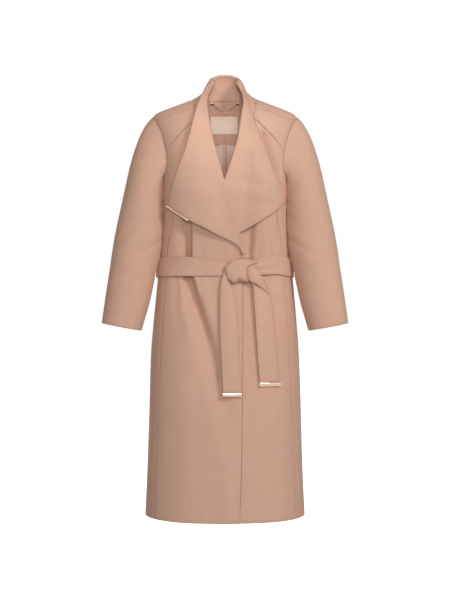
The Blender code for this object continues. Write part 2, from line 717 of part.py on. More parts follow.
def add_belt():
    """The band, from one side of the knot round the back to the other side."""
    start, end = float(girth(62, WAIST_HEIGHT)), float(girth(8, WAIST_HEIGHT)) + 360.0
    angles = np.linspace(start, end, BELT_STEPS + 1)
    near_knot = np.exp(-(((angles - start) / 9.0) ** 2))
    hump = np.exp(-(((angles - start - 26.0) / 14.0) ** 2))
    top = WAIST_HEIGHT + BELT_WIDTH / 2 + BELT_HUMP * hump - BELT_PINCH * near_knot
    bottom = WAIST_HEIGHT - BELT_WIDTH / 2 + 1.25 * BELT_HUMP * hump + 0.625 * BELT_PINCH * near_knot
    v = np.linspace(0, 1, 3)[:, None]
    heights = bottom * (1 - v) + top * v
    grid = np.stack([np.broadcast_to(angles, heights.shape), heights], axis=-1)
    outer = on_form(grid, BELT_LIFT + BELT_CLOTH)
    inner = on_form(grid, BELT_LIFT)
    add_wall("belt_band", outer, inner, coat_cloth())


def add_knot():
    """The wrapped knot, a rounded pad over the ends of the band."""
    outline = np.array(KNOT_POINTS, float)
    centre = outline.mean(axis=0)
    points = []
    for scale, lift in KNOT_RINGS:
        ring = centre + (outline - centre) * scale
        grid = np.column_stack([girth(ring[:, 0], ring[:, 1]), ring[:, 1]])
        points.append(on_form(grid, KNOT_LIFT + lift))
    layers = np.array(points)
    rows, columns = layers.shape[:2]
    faces = []
    for i in range(rows - 1):
        for j in range(columns):
            k = (j + 1) % columns
            faces.append((i * columns + j, i * columns + k, (i + 1) * columns + k, (i + 1) * columns + j))
    hub_back, hub_front = rows * columns, rows * columns + 1
    top = (rows - 1) * columns
    for j in range(columns):
        k = (j + 1) % columns
        faces.append((k, j, hub_back))
        faces.append((top + j, top + k, hub_front))
    hub_grid = np.array([[float(girth(centre[0], centre[1])), centre[1]]])
    hubs = [on_form(hub_grid, KNOT_LIFT)[0], on_form(hub_grid, KNOT_LIFT + KNOT_DEPTH)[0]]
    add_solid("belt_knot", np.vstack([layers.reshape(-1, 3), hubs]), faces, coat_cloth())


def add_tail(name, rows, bar_name):
    """A belt end that hangs down the front, with a metal bar along its lower edge."""
    heights = np.linspace(rows[0][0], rows[-1][0], TAIL_ROWS)
    left, right, lift = np.moveaxis(smooth_table(rows, heights), -1, 0)
    u = np.linspace(0, 1, TAIL_COLUMNS)[None, :]
    x = left[:, None] * (1 - u) + right[:, None] * u
    z = np.broadcast_to(heights[:, None], x.shape)
    grid = np.stack([girth(x, z), z], axis=-1)
    lifts = np.broadcast_to(lift[:, None], x.shape)
    outer = on_form(grid, lifts + BELT_CLOTH)
    inner = on_form(grid, lifts)
    add_wall(name, outer, inner, coat_cloth())
    edge = (outer[-1] + inner[-1]) / 2
    reach = (edge[-1] - edge[0]) / np.linalg.norm(edge[-1] - edge[0]) * BAR_OVERHANG
    add_bar(bar_name, edge[0] - reach, edge[-1] + reach, BAR_HEIGHT)


def add_bar(name, first, last, width):
    """A straight metal bar just below the line between two points, with bevelled edges."""
    along = last - first
    length = np.linalg.norm(along)
    along /= length
    out = np.array([0.0, -1.0, 0.0])
    out -= along * np.dot(out, along)
    out /= np.linalg.norm(out)
    down = np.cross(out, along)
    if down[2] > 0:
        down = -down
    start = first + down * (SEAM_GAP + 0.4)
    corner = 1.0
    half = BAR_THICKNESS / 2
    profile = [
        (corner, -half), (width - corner, -half), (width, -half + corner), (width, half - corner),
        (width - corner, half), (corner, half), (0, half - corner), (0, -half + corner),
    ]
    rings = [start + along * reach + down * p + out * q for reach in (0.0, length) for p, q in profile]
    count = len(profile)
    faces = [(j, (j + 1) % count, count + (j + 1) % count, count + j) for j in range(count)]
    faces.append(tuple(reversed(range(count))))
    faces.append(tuple(range(count, 2 * count)))
    add_solid(name, rings, faces, rose_metal(), smooth=False)


def add_lapel_bar():
    """The metal bar on the lower edge of the wearer's right lapel, at its tip."""
    tip, below = np.array(LAPEL_LOWER_ROWS[RIGHT][0], float), np.array(LAPEL_LOWER_ROWS[RIGHT][1], float)
    reach = min(1.0, LAPEL_BAR_LENGTH / np.linalg.norm(below[:2] - tip[:2]))
    ends = np.array([tip, tip + (below - tip) * reach])
    lift = 2 * ROLL_RADIUS - CLOTH / 2 + ends[:, 2]
    points = on_form(placed(ends[:, 0], ends[:, 1], lift), lift)
    add_bar("lapel_bar", points[0], points[1], LAPEL_BAR_WIDTH)


def add_facing(name, side):
    """Half of the back neck facing, inside the back, from its centre seam to the shoulder seam."""
    grid = back_grid(side)[len(BODY_LEVELS) - 1 + FACING_ROWS :, : FACING_COLUMNS + 1]
    cut_panel(name, grid, coat_cloth(), -(CLOTH + INSIDE_GAP), LINING_CLOTH)


def add_lining():
    """The back lining below the facing, with a pleat down its centre."""
    grid = inner_back_grid(BODY_LEVELS.index(LINING_END_HEIGHT), len(BODY_LEVELS) - 1 + FACING_ROWS)
    pleat = np.zeros(grid.shape[:2])
    pleat[:, FACING_COLUMNS] = np.linspace(PLEAT_DEPTH, 0.5, len(grid))
    finish = material("lining", LINING_COLOUR, LINING_ROUGHNESS)
    cut_panel("back_lining", grid, finish, -(CLOTH + INSIDE_GAP) - pleat, LINING_CLOTH)


def inside_back(x, height, depth):
    """Points in front of the facing, at a distance from it."""
    grid = np.stack([girth(x, height, back=True) % 360.0, height], axis=-1)
    return on_form(grid, -(CLOTH + INSIDE_GAP + LINING_CLOTH + depth))


def add_inside_piece(name, x, height, stand_off, thickness, finish):
    """A thin flat piece on the facing."""
    x, height = np.broadcast_arrays(x, height)
    near = inside_back(x, height, stand_off)
    far = inside_back(x, height, stand_off + thickness)
    add_wall(name, far, near, finish)


def add_label():
    """A blank woven label on the facing."""
    x = np.linspace(LABEL_LEFT, LABEL_LEFT + LABEL_WIDTH, 5)[None, :]
    z = np.linspace(LABEL_TOP - LABEL_HEIGHT, LABEL_TOP, 4)[:, None]
    finish = material("label", LABEL_COLOUR, LABEL_ROUGHNESS)
    add_inside_piece("blank_label", x, z, LABEL_STAND_OFF, LABEL_CLOTH, finish)


def add_hanger_chain():
    """A thin chain between two metal tabs below the back neck seam."""
    for name, centre in (("hanger_tab_right", -TAB_SPREAD), ("hanger_tab_left", TAB_SPREAD)):
        x = centre + np.linspace(-TAB_LENGTH / 2, TAB_LENGTH / 2, 3)[None, :]
        z = TAB_HEIGHT + np.linspace(-TAB_WIDTH / 2, TAB_WIDTH / 2, 2)[:, None]
        add_inside_piece(name, x, z, TAB_STAND_OFF, TAB_THICKNESS, rose_metal())
    t = np.linspace(-1, 1, CHAIN_POINTS)
    x = t * (TAB_SPREAD - 6.4)
    z = TAB_HEIGHT - CHAIN_SAG * (1 - t**2)
    points = inside_back(x, z, CHAIN_STAND_OFF + CHAIN_RADIUS)
    curve = bpy.data.curves.new("hanger_chain", "CURVE")
    curve.dimensions = "3D"
    spline = curve.splines.new("POLY")
    spline.points.add(len(points) - 1)
    for place, point in zip(spline.points, points):
        place.co = (*(point * MM), 1.0)
    curve.bevel_depth = CHAIN_RADIUS * MM
    curve.bevel_resolution = 1
    curve.use_fill_caps = True
    curve.materials.append(rose_metal())
    chain = bpy.data.objects.new("hanger_chain", curve)
    bpy.context.scene.collection.objects.link(chain)


def add_belt_loop(name, side):
    """A narrow thread loop over the band at the side."""
    t = np.array([-1.0, -0.88, -0.4, 0.4, 0.88, 1.0])
    z = WAIST_HEIGHT + t * (BELT_WIDTH / 2 + 7.0)
    bulge = np.where(np.abs(t) < 0.9, BELT_LIFT + BELT_CLOTH + SEAM_GAP, 0.6)
    angles = side * LOOP_ANGLE + np.array([-LOOP_HALF_WIDTH, LOOP_HALF_WIDTH])
    grid = np.stack(np.broadcast_arrays(angles[None, :], z[:, None]), axis=-1)
    lifts = np.broadcast_to(bulge[:, None], (len(t), 2))
    outer = on_form(grid, lifts + LOOP_CLOTH)
    inner = on_form(grid, lifts)
    add_wall(name, outer, inner, coat_cloth())


def clear_scene():
    """Takes out whatever the scene starts with."""
    for existing in list(bpy.data.objects):
        bpy.data.objects.remove(existing, do_unlink=True)


def build_coat():
    """Builds every piece of the coat."""
    clear_scene()
    add_front("front_right", RIGHT)
    add_front("front_left", LEFT)
    for word, side in (("right", RIGHT), ("left", LEFT)):
        add_yoke(f"shoulder_{word}", side)
        add_side_panel(f"side_{word}", side)
        cut_panel(f"back_{word}", back_grid(side), coat_cloth(), folds="back")
        add_lapel(f"lapel_{word}", side)
        add_sleeve(word, side)
        add_facing(f"back_neck_facing_{word}", side)
        add_belt_loop(f"belt_loop_{word}", side)
    add_collar()
    add_belt()
    add_knot()
    add_tail("belt_end_right", RIGHT_TAIL_ROWS, "belt_bar_right")
    add_tail("belt_end_left", LEFT_TAIL_ROWS, "belt_bar_left")
    add_lapel_bar()
    add_lining()
    add_label()
    add_hanger_chain()


build_coat()
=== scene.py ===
"""Looks of a long belted wrap coat of camel wool, filled out and hollow, with a soft studio round it.

The coat's front faces -Y and +Z is up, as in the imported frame. Sizes are millimetres, and MM turns them
into metres when a mesh is made. "Right" and "left" are the wearer's, so right is at -X.

The body is one smooth form. A point on it has a girth angle in degrees (0 at the centre front, 90 at the
wearer's left side, 180 at the centre back) and a height. Each panel is a grid of such points, filled in
between the rows of its pattern, lifted off the form, sunk by its folds and given cloth on both sides.
"""

import logging
import math
from collections.abc import Iterable, Mapping, Sequence
from dataclasses import dataclass, field
from enum import Enum

import bpy
import numpy as np
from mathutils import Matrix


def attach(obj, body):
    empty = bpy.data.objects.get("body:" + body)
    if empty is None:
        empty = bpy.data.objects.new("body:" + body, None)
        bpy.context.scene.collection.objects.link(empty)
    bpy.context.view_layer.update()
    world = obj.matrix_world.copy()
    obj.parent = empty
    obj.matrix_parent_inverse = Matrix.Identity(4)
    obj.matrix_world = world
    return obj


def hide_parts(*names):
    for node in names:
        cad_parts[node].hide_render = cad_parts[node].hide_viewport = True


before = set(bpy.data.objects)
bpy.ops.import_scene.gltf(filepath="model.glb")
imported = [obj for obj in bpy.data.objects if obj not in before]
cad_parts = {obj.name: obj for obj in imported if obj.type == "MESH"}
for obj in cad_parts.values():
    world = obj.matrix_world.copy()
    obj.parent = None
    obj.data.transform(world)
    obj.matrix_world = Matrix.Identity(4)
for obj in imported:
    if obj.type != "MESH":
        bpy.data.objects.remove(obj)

log = logging.getLogger("coat")

Array = np.ndarray
Table = tuple[tuple[float, ...], ...]
Colour = tuple[float, float, float]
Place = tuple[float, float, float]
Inputs = Mapping[str | int, object]
Settings = Mapping[str, object]
Skin = tuple[Array, list[tuple[int, ...]]]

MM = 0.001
IMAGE_WIDTH = 450
IMAGE_HEIGHT = 600

CLOTH = 2.6
BELT_CLOTH = 3.0
ROLL_RADIUS = 4.0
WAIST = -450.0
# The way the coat faces
FRONT = np.array([0.0, -1.0, 0.0])


class Side(Enum):
    """A side of the coat, as its wearer has it."""

    RIGHT = -1
    LEFT = 1

    @property
    def word(self) -> str:
        """The side's name, as pieces have it."""
        return self.name.lower()


class Panel(Enum):
    """The panels that folds belong to."""

    RIGHT_FRONT = "right front"
    LEFT_FRONT = "left front"
    BACK = "back"
    SIDES = "sides"
    PLAIN = "plain"


def smooth_table(rows: Sequence[Sequence[float]] | Array, at: Array | float) -> Array:
    """Values of a table's other columns at values of its first column, on curves with no overshoot.

    Args:
        rows: The table, in any order of its first column.
        at: Where to read it.

    Returns:
        One value for each other column, on the last axis.
    """
    table = np.array(rows, float)
    table = table[np.argsort(table[:, 0], kind="stable")]
    key, values = table[:, 0], table[:, 1:]
    slopes = np.diff(values, axis=0) / np.diff(key)[:, None]
    tangents = np.vstack([slopes[:1], np.zeros_like(slopes[1:]), slopes[-1:]])
    product = slopes[1:] * slopes[:-1]
    total = np.where(product > 0, slopes[1:] + slopes[:-1], 1.0)
    tangents[1:-1] = np.where(product > 0, 2 * product / total, 0.0)
    at = np.asarray(at, float)
    i = np.clip(np.searchsorted(key, at) - 1, 0, len(key) - 2)
    width = (key[i + 1] - key[i])[..., None]
    t = ((at - key[i])[..., None]) / width
    start = (2 * t**3 - 3 * t**2 + 1) * values[i] + (t**3 - 2 * t**2 + t) * width * tangents[i]
    end = (3 * t**2 - 2 * t**3) * values[i + 1] + (t**3 - t**2) * width * tangents[i + 1]
    return start + end


def smooth_step(value: Array | float) -> Array:
    """0 below 0, 1 above 1 and a soft ramp between them."""
    t = np.clip(value, 0.0, 1.0)
    return t * t * (3 - 2 * t)


def unit(vectors: Array) -> Array:
    """The same directions with length 1."""
    return vectors / np.maximum(np.linalg.norm(vectors, axis=-1, keepdims=True), 1e-9)


def run_lengths(points: Array, axis: int = 0) -> Array:
    """Distance run along a grid's lines, from their first point.

    Args:
        points: The grid.
        axis: The axis that the lines run along.

    Returns:
        A distance for each point.
    """
    steps = np.linalg.norm(np.diff(points, axis=axis), axis=-1)
    start = np.zeros_like(np.take(steps, [0], axis=axis))
    return np.concatenate([start, np.cumsum(steps, axis=axis)], axis=axis)


def refined(grid: Array, counts: Sequence[int], axis: int = 0, breaks: Sequence[int] = ()) -> Array:
    """Fills in points between a grid's lines, on smooth curves.

    Args:
        grid: The points, with their values on the last axis.
        counts: How many steps each space between two lines is cut into.
        axis: The axis to fill in.
        breaks: Lines at which a curve turns a corner.

    Returns:
        The finer grid, which holds all the old points.
    """
    rows = np.moveaxis(grid, axis, 0)
    flat = rows.reshape(len(rows), -1)
    stops = [0, *breaks, len(rows) - 1]
    parts = []
    for first, last in zip(stops, stops[1:]):
        at = np.concatenate([np.linspace(k, k + 1, counts[k], endpoint=False) for k in range(first, last)])
        table = np.column_stack([np.arange(first, last + 1), flat[first : last + 1]])
        parts.append(smooth_table(table, at))
    made = np.vstack([*parts, flat[-1:]])
    return np.moveaxis(made.reshape(-1, *rows.shape[1:]), 0, axis)


def step_counts(points: Array, spacing: float, axis: int) -> list[int]:
    """How many steps each space between lines needs so that points are no further apart than the spacing."""
    gaps = np.linalg.norm(np.diff(points, axis=axis), axis=-1).max(axis=1 - axis)
    return [max(1, math.ceil(gap / spacing)) for gap in gaps]


def with_edge_lines(grid: Array, points: Array, distance: float = 2.2) -> Array:
    """The grid with one more line just inside each edge, so that the cloth can dip at its seams.

    Args:
        grid: The grid to add to.
        points: The same grid as points in space, for its lengths.
        distance: How far inside the edge the line lies.

    Returns:
        The grid with two more rows and two more columns.
    """
    for axis in (0, 1):
        places = np.moveaxis(points, axis, 0)
        shares = []
        for edge, inner in ((0, 1), (-1, -2)):
            length = np.linalg.norm(places[inner] - places[edge], axis=-1).mean()
            shares.append(min(0.45, distance / max(length, 1e-6)))
        grid = with_end_rows(grid, shares, axis)
        points = with_end_rows(points, shares, axis)
    return grid


def with_end_rows(grid: Array, shares: Sequence[float], axis: int) -> Array:
    """The grid with one more line near both ends of an axis.

    Args:
        grid: The grid to add to.
        shares: How far the new lines are towards the next old one, at the first end and at the last.
        axis: The axis.

    Returns:
        The grid with two more lines.
    """
    rows = np.moveaxis(grid, axis, 0)
    first = rows[0] * (1 - shares[0]) + rows[1] * shares[0]
    last = rows[-1] * (1 - shares[1]) + rows[-2] * shares[1]
    made = np.concatenate([rows[:1], first[None], rows[1:-1], last[None], rows[-1:]])
    return np.moveaxis(made, 0, axis)


def edge_distance(points: Array) -> Array:
    """Distance of each point of a grid from the nearest edge, along its lines."""
    down, across = run_lengths(points, 0), run_lengths(points, 1)
    return np.minimum.reduce([down, down[-1:] - down, across, across[:, -1:] - across])


def grid_normals(points: Array, around: bool = False) -> Array:
    """Directions square to a grid of points.

    Args:
        points: The grid.
        around: Whether its last column meets its first.

    Returns:
        One direction for each point.
    """
    if around:
        across = np.roll(points, -1, axis=1) - np.roll(points, 1, axis=1)
    else:
        across = np.gradient(points, axis=1)
    return unit(np.cross(across, np.gradient(points, axis=0)))


def turned_out(normal: Array, outward: Array, each: bool = False) -> Array:
    """The directions turned the way of others, all at once or each by itself."""
    along = normal * outward
    return normal * np.sign(along.sum(axis=-1, keepdims=True) if each else along.sum())


def ruled(first: Array, last: Array, columns: int) -> Array:
    """Rows of points between two curves with the same number of points."""
    u = np.linspace(0, 1, columns)[None, :, None]
    return first[:, None] * (1 - u) + last[:, None] * u


def coons(bottom: Array, top: Array, first: Array, last: Array) -> Array:
    """A grid between four curves. Bottom and top run from first to last.

    Args:
        bottom: The first row.
        top: The last row.
        first: The first column.
        last: The last column.

    Returns:
        The grid.
    """
    u = np.linspace(0, 1, len(bottom))[None, :, None]
    v = np.linspace(0, 1, len(first))[:, None, None]
    across = (1 - v) * bottom[None] + v * top[None]
    along = (1 - u) * first[:, None] + u * last[:, None]
    low = (1 - u) * bottom[0] + u * bottom[-1]
    high = (1 - u) * top[0] + u * top[-1]
    return across + along - (1 - v) * low - v * high


@dataclass(frozen=True)
class Fold:
    """A soft trough in cloth, or a ridge where its depths are below 0, between two points seen flat on.

    It is deepest where its depths say and runs out softly past both ends. A skew above 0 makes it wide on the
    viewer's left and steep on the right.
    """

    panel: Panel
    start: tuple[float, float]
    end: tuple[float, float]
    widths: tuple[float, float]
    depths: tuple[float, float]
    bow: float = 0.0
    fade: float = 14.0
    skew: float = 0.0

    def depth(self, across: Array, height: Array) -> Array:
        """How deep the fold is.

        Args:
            across: Places across the cloth.
            height: Heights of the same points.

        Returns:
            The depth at each point.
        """
        start, end = np.array(self.start), np.array(self.end)
        length = np.linalg.norm(end - start)
        along_x, along_z = (end - start) / length
        from_x, from_z = across - start[0], height - start[1]
        t = (from_x * along_x + from_z * along_z) / length
        inside = np.clip(t, 0, 1)
        aside = from_x * along_z - from_z * along_x - self.bow * 4 * inside * (1 - inside)
        width = self.widths[0] + (self.widths[1] - self.widths[0]) * inside
        width = width * (1 + self.skew * np.tanh(aside / 2))
        bottom = self.depths[0] + (self.depths[1] - self.depths[0]) * inside
        run_out = np.exp(-(((t - inside) * length / self.fade) ** 2))
        return bottom * run_out * np.exp(-((aside / width) ** 2))


@dataclass(frozen=True)
class FoldSet:
    """All the folds of the body: the large ones, which the solids have too but shallower, and fine ones."""

    large: tuple[Fold, ...] = (
        Fold(Panel.RIGHT_FRONT, (-98, -330), (-95, -440), (14, 12), (20, 30), 0, 30, 0.5),
        Fold(Panel.RIGHT_FRONT, (-100, -460), (-78, -545), (12, 17), (27, 25), 0, 30, 0.3),
        Fold(Panel.RIGHT_FRONT, (-78, -545), (-26, -712), (17, 24), (25, 16), 0, 30, 0.15),
        Fold(Panel.RIGHT_FRONT, (-26, -712), (14, -880), (24, 32), (16, 3), 0, 40),
        Fold(Panel.RIGHT_FRONT, (-128, -470), (-122, -640), (10, 20), (4, 1)),
        Fold(Panel.LEFT_FRONT, (92, -365), (86, -440), (12, 12), (2, 5)),
        Fold(Panel.LEFT_FRONT, (108, -475), (112, -640), (12, 22), (5, 1)),
        Fold(Panel.LEFT_FRONT, (72, -470), (70, -560), (10, 14), (4, 1)),
        Fold(Panel.BACK, (-92, -330), (-84, -440), (16, 10), (2, 6)),
        Fold(Panel.BACK, (-32, -365), (-28, -440), (12, 9), (1, 5)),
        Fold(Panel.BACK, (44, -345), (38, -440), (14, 10), (2, 6)),
        Fold(Panel.BACK, (104, -360), (96, -440), (14, 11), (1, 5)),
        Fold(Panel.BACK, (-84, -460), (-104, -700), (10, 26), (7, 2)),
        Fold(Panel.BACK, (-30, -460), (-34, -600), (9, 20), (5, 1)),
        Fold(Panel.BACK, (36, -460), (46, -760), (10, 28), (7, 2)),
        Fold(Panel.BACK, (98, -460), (122, -640), (11, 22), (5, 1)),
    )
    fine: tuple[Fold, ...] = (
        Fold(Panel.RIGHT_FRONT, (-94, -100), (-122, -200), (8, 10), (9.0, 8.0), 2, 24),
        Fold(Panel.RIGHT_FRONT, (-116, -330), (-110, -438), (7, 6), (-1.2, -2.2)),
        Fold(Panel.RIGHT_FRONT, (-84, -372), (-88, -438), (8, 6), (-0.6, -2.0)),
        Fold(Panel.RIGHT_FRONT, (-60, -405), (-52, -440), (8, 6), (0.3, 1.3)),
        Fold(Panel.RIGHT_FRONT, (-8, -398), (2, -440), (9, 8), (0.4, 1.5)),
        Fold(Panel.RIGHT_FRONT, (-84, -462), (-14, -720), (9, 16), (-2.4, -1.2)),
        Fold(Panel.RIGHT_FRONT, (-70, -470), (-40, -640), (7, 16), (1.4, 0.3)),
        Fold(Panel.RIGHT_FRONT, (-40, -468), (-18, -560), (6, 12), (1.2, 0.2)),
        Fold(Panel.RIGHT_FRONT, (-60, -760), (-28, -1080), (22, 34), (1.5, 2.6), 10, 60),
        Fold(Panel.RIGHT_FRONT, (-118, -700), (-108, -1100), (20, 30), (-0.8, -2.4), -8, 60),
        Fold(Panel.RIGHT_FRONT, (14, -820), (6, -1100), (14, 20), (-0.6, -1.8), 6, 60),
        Fold(Panel.LEFT_FRONT, (70, -350), (64, -438), (15, 13), (13.0, 18.0), 0, 30, 0.3),
        Fold(Panel.LEFT_FRONT, (114, -330), (108, -438), (12, 9), (-0.6, -2.2)),
        Fold(Panel.LEFT_FRONT, (132, -390), (126, -440), (8, 6), (0.5, 1.8)),
        Fold(Panel.LEFT_FRONT, (97, -112), (143, -236), (13, 13), (18.0, 26.0), 0, 18),
        Fold(Panel.LEFT_FRONT, (90, -474), (92, -600), (6, 14), (-1.6, -0.4)),
        Fold(Panel.LEFT_FRONT, (126, -480), (134, -760), (10, 24), (1.3, 0.4), 4, 40),
        Fold(Panel.LEFT_FRONT, (98, -780), (88, -1090), (24, 34), (0.8, 2.6), 8, 60),
        Fold(Panel.LEFT_FRONT, (64, -820), (60, -1100), (13, 18), (-0.5, -1.6), -4, 60),
        Fold(Panel.BACK, (-118, -420), (-112, -440), (6, 5), (0.8, 1.6)),
        Fold(Panel.BACK, (-58, -390), (-54, -440), (8, 6), (-0.4, -1.8)),
        Fold(Panel.BACK, (6, -400), (8, -440), (7, 6), (-0.3, -1.5)),
        Fold(Panel.BACK, (70, -385), (66, -440), (8, 6), (0.4, 2.0)),
        Fold(Panel.BACK, (-60, -462), (-66, -580), (6, 14), (-1.8, -0.5)),
        Fold(Panel.BACK, (4, -462), (8, -540), (6, 12), (1.4, 0.3)),
        Fold(Panel.BACK, (68, -464), (84, -640), (7, 18), (-1.8, -0.4)),
        Fold(Panel.BACK, (-64, -720), (-74, -1100), (26, 38), (0.6, 3.0), -10, 60),
        Fold(Panel.BACK, (78, -760), (92, -1100), (26, 36), (0.8, 2.8), 8, 60),
        Fold(Panel.BACK, (16, -800), (10, -1100), (22, 30), (-0.5, -1.8), 5, 60),
        Fold(Panel.BACK, (-120, -170), (-84, -118), (15, 11), (1.8, 0.8), 5, 24),
        Fold(Panel.BACK, (118, -188), (88, -128), (15, 11), (1.4, 0.9), -6, 24),
        Fold(Panel.SIDES, (-14, -380), (-6, -438), (9, 7), (0.5, 2.4)),
        Fold(Panel.SIDES, (26, -405), (24, -440), (7, 6), (0.4, 1.9)),
        Fold(Panel.SIDES, (-10, -462), (-16, -620), (8, 20), (2.8, 0.6)),
        Fold(Panel.SIDES, (30, -464), (46, -700), (9, 24), (2.2, 0.6), 4, 40),
        Fold(Panel.SIDES, (10, -800), (16, -1090), (24, 34), (0.8, 2.6), 8, 60),
    )

    def sink(self, panel: Panel, points: Array) -> Array:
        """How far a panel's folds sink its cloth below the form.

        Args:
            panel: The panel.
            points: Its points on the bare form.

        Returns:
            A depth for each point.
        """
        across = points[..., 1] if panel is Panel.SIDES else points[..., 0]
        height = points[..., 2]
        depth = np.zeros(height.shape)
        for fold in self.large:
            if fold.panel is panel:
                depth = np.maximum(depth, fold.depth(across, height))
        for fold in self.fine:
            if fold.panel is panel:
                depth = depth + fold.depth(across, height)
        return depth


@dataclass(frozen=True)
class Drift:
    """Slow, shallow waves in pressed cloth, the same on both sides of a seam."""

    height: float = 0.45
    # How much the phase turns for each millimetre of x, y and z, and the phase at the start
    waves: Table = (
        (0.023, 0.017, 0.006, 0.3),
        (-0.011, 0.026, 0.013, 1.9),
        (0.034, -0.008, 0.010, 4.1),
        (0.009, 0.031, -0.021, 2.6),
        (-0.041, -0.013, 0.016, 5.2),
    )

    def rise(self, points: Array) -> Array:
        """How far the waves lift the cloth at these points.

        Args:
            points: Points in millimetres.

        Returns:
            A lift for each point.
        """
        total = np.zeros(points.shape[:-1])
        for x, y, z, phase in self.waves:
            total += np.sin(points[..., 0] * x + points[..., 1] * y + points[..., 2] * z + phase)
        return self.height * total / 2


@dataclass(frozen=True)
class CoatForm:
    """The body of the coat as one smooth form.

    Each row, from the hem up, has height, half width, y of the widest line, front y, back y and squareness.
    """

    rows: Table = (
        (-1112, 216, 0, -150, 145, 2.20),
        (-1000, 211, 0, -145, 139, 2.20),
        (-850, 205, 0, -139, 131, 2.20),
        (-700, 200, 0, -130, 122, 2.25),
        (-600, 194, 0, -121, 112, 2.30),
        (-520, 187, 0, -107, 98, 2.35),
        (-450, 180, 0, -96, 86, 2.40),
        (-380, 176, 0, -105, 90, 2.40),
        (-300, 172, 0, -118, 98, 2.40),
        (-225, 172, 0, -126, 104, 2.40),
        (-130, 178, 0, -117, 105, 2.40),
        (-80, 190, 0, -100, 99, 2.35),
        (-52, 197, 0, -87, 93, 2.25),
        (-38, 187, 0, -78, 89, 2.20),
        (-24, 157, 2, -68, 83, 2.20),
        (-10, 120, 5, -56, 75, 2.20),
        (3, 89, 8, -44, 67, 2.20),
        (15, 71, 14, -31, 63, 2.20),
        (36, 52, 24, -12, 60, 2.20),
        (57, 37, 34, 10, 57, 2.20),
        (76, 25, 40, 26, 50, 2.20),
    )

    def section(self, height: Array | float) -> Array:
        """Half width, side y, front y, back y and squareness at a height."""
        return np.moveaxis(smooth_table(self.rows, height), -1, 0)

    def point(self, grid: Array) -> Array:
        """Points on the form, from girth angles and heights.

        Args:
            grid: Girth angles and heights.

        Returns:
            Points in millimetres.
        """
        angle, height = np.radians(grid[..., 0]), grid[..., 1]
        half_width, side_y, front_y, back_y, squareness = self.section(height)
        across, along = np.sin(angle), np.cos(angle)
        x = half_width * np.sign(across) * np.abs(across) ** (2 / squareness)
        reach = np.where(along > 0, front_y, back_y) - side_y
        y = side_y + reach * np.abs(along) ** (2 / squareness)
        return np.stack([x, y, height], axis=-1)

    def normal(self, grid: Array) -> Array:
        """Outward directions of the form.

        Args:
            grid: Girth angles and heights.

        Returns:
            A direction for each point.
        """
        turn, rise = np.array([0.5, 0.0]), np.array([0.0, 1.0])
        around = self.point(grid + turn) - self.point(grid - turn)
        upward = self.point(grid + rise) - self.point(grid - rise)
        return unit(np.cross(around, upward))

    def lifted(self, grid: Array, lift: Array | float) -> Array:
        """Points at a distance outside the form."""
        rise = np.broadcast_to(lift, grid.shape[:-1])
        return self.point(grid) + self.normal(grid) * rise[..., None]

    def girth(self, x: Array | float, height: Array | float, back: bool = False) -> Array:
        """Girth angle of the form's point with this x, on its front or its back.

        Args:
            x: Its x.
            height: Its height.
            back: Whether it is on the back.

        Returns:
            The angle in degrees.
        """
        half_width, _, _, _, squareness = self.section(height)
        ratio = np.clip(np.abs(x) / half_width, 0, 1) ** (squareness / 2)
        angle = np.degrees(np.arcsin(ratio)) * np.sign(x)
        return np.where(np.asarray(x) < 0, -180.0, 180.0) - angle if back else angle

    def placed(self, x: Array, height: Array, lift: Array | float) -> Array:
        """Grid points whose lifted points have this x and height, on the front.

        Args:
            x: The x wanted.
            height: The height wanted.
            lift: Their distance from the form.

        Returns:
            Girth angles and heights.
        """
        grid = np.stack(np.broadcast_arrays(self.girth(x, height), height), axis=-1).astype(float)
        near_x, near_z = np.array(x, float), np.array(height, float)
        for _ in range(4):
            reached = self.lifted(grid, lift)
            near_x = near_x + 0.8 * (x - reached[..., 0])
            near_z = near_z + 0.8 * (height - reached[..., 2])
            grid = np.stack([self.girth(near_x, near_z), near_z], axis=-1)
        return grid

    def raised(self, x: Array, height: Array, lift: Array | float) -> Array:
        """Points in front of the coat with this x and height, at a distance from the form."""
        return self.lifted(self.placed(x, height, lift), lift)

    def front_points(self, points: Table, side: Side) -> Array:
        """Points on the front, from x and height."""
        return np.array([(side.value * float(self.girth(x, z)), z) for x, z in points])

    def back_points(self, points: Table, side: Side) -> Array:
        """Points on the back, from x and height."""
        return np.array([(side.value * float(self.girth(x, z, back=True)), z) for x, z in points])

    def resample(self, points: Array, count: int) -> Array:
        """The same curve with evenly spaced points."""
        reach = run_lengths(self.point(points))
        return smooth_table(np.column_stack([reach, points]), np.linspace(0, reach[-1], count))

    def filled(
        self, coarse: Array, spacing: tuple[float, float], row_breaks: Sequence[int] = (),
        column_breaks: Sequence[int] = (),
    ) -> Array:
        """A pattern's grid, filled in on smooth curves.

        Args:
            coarse: Girth angles and heights.
            spacing: How far apart its rows and its columns may be.
            row_breaks: Rows at which a curve turns a corner.
            column_breaks: Columns at which a curve turns a corner.

        Returns:
            The finer grid.
        """
        places = self.point(coarse)
        grid = refined(coarse, step_counts(places, spacing[0], 0), 0, row_breaks)
        return refined(grid, step_counts(places, spacing[1], 1), 1, column_breaks)


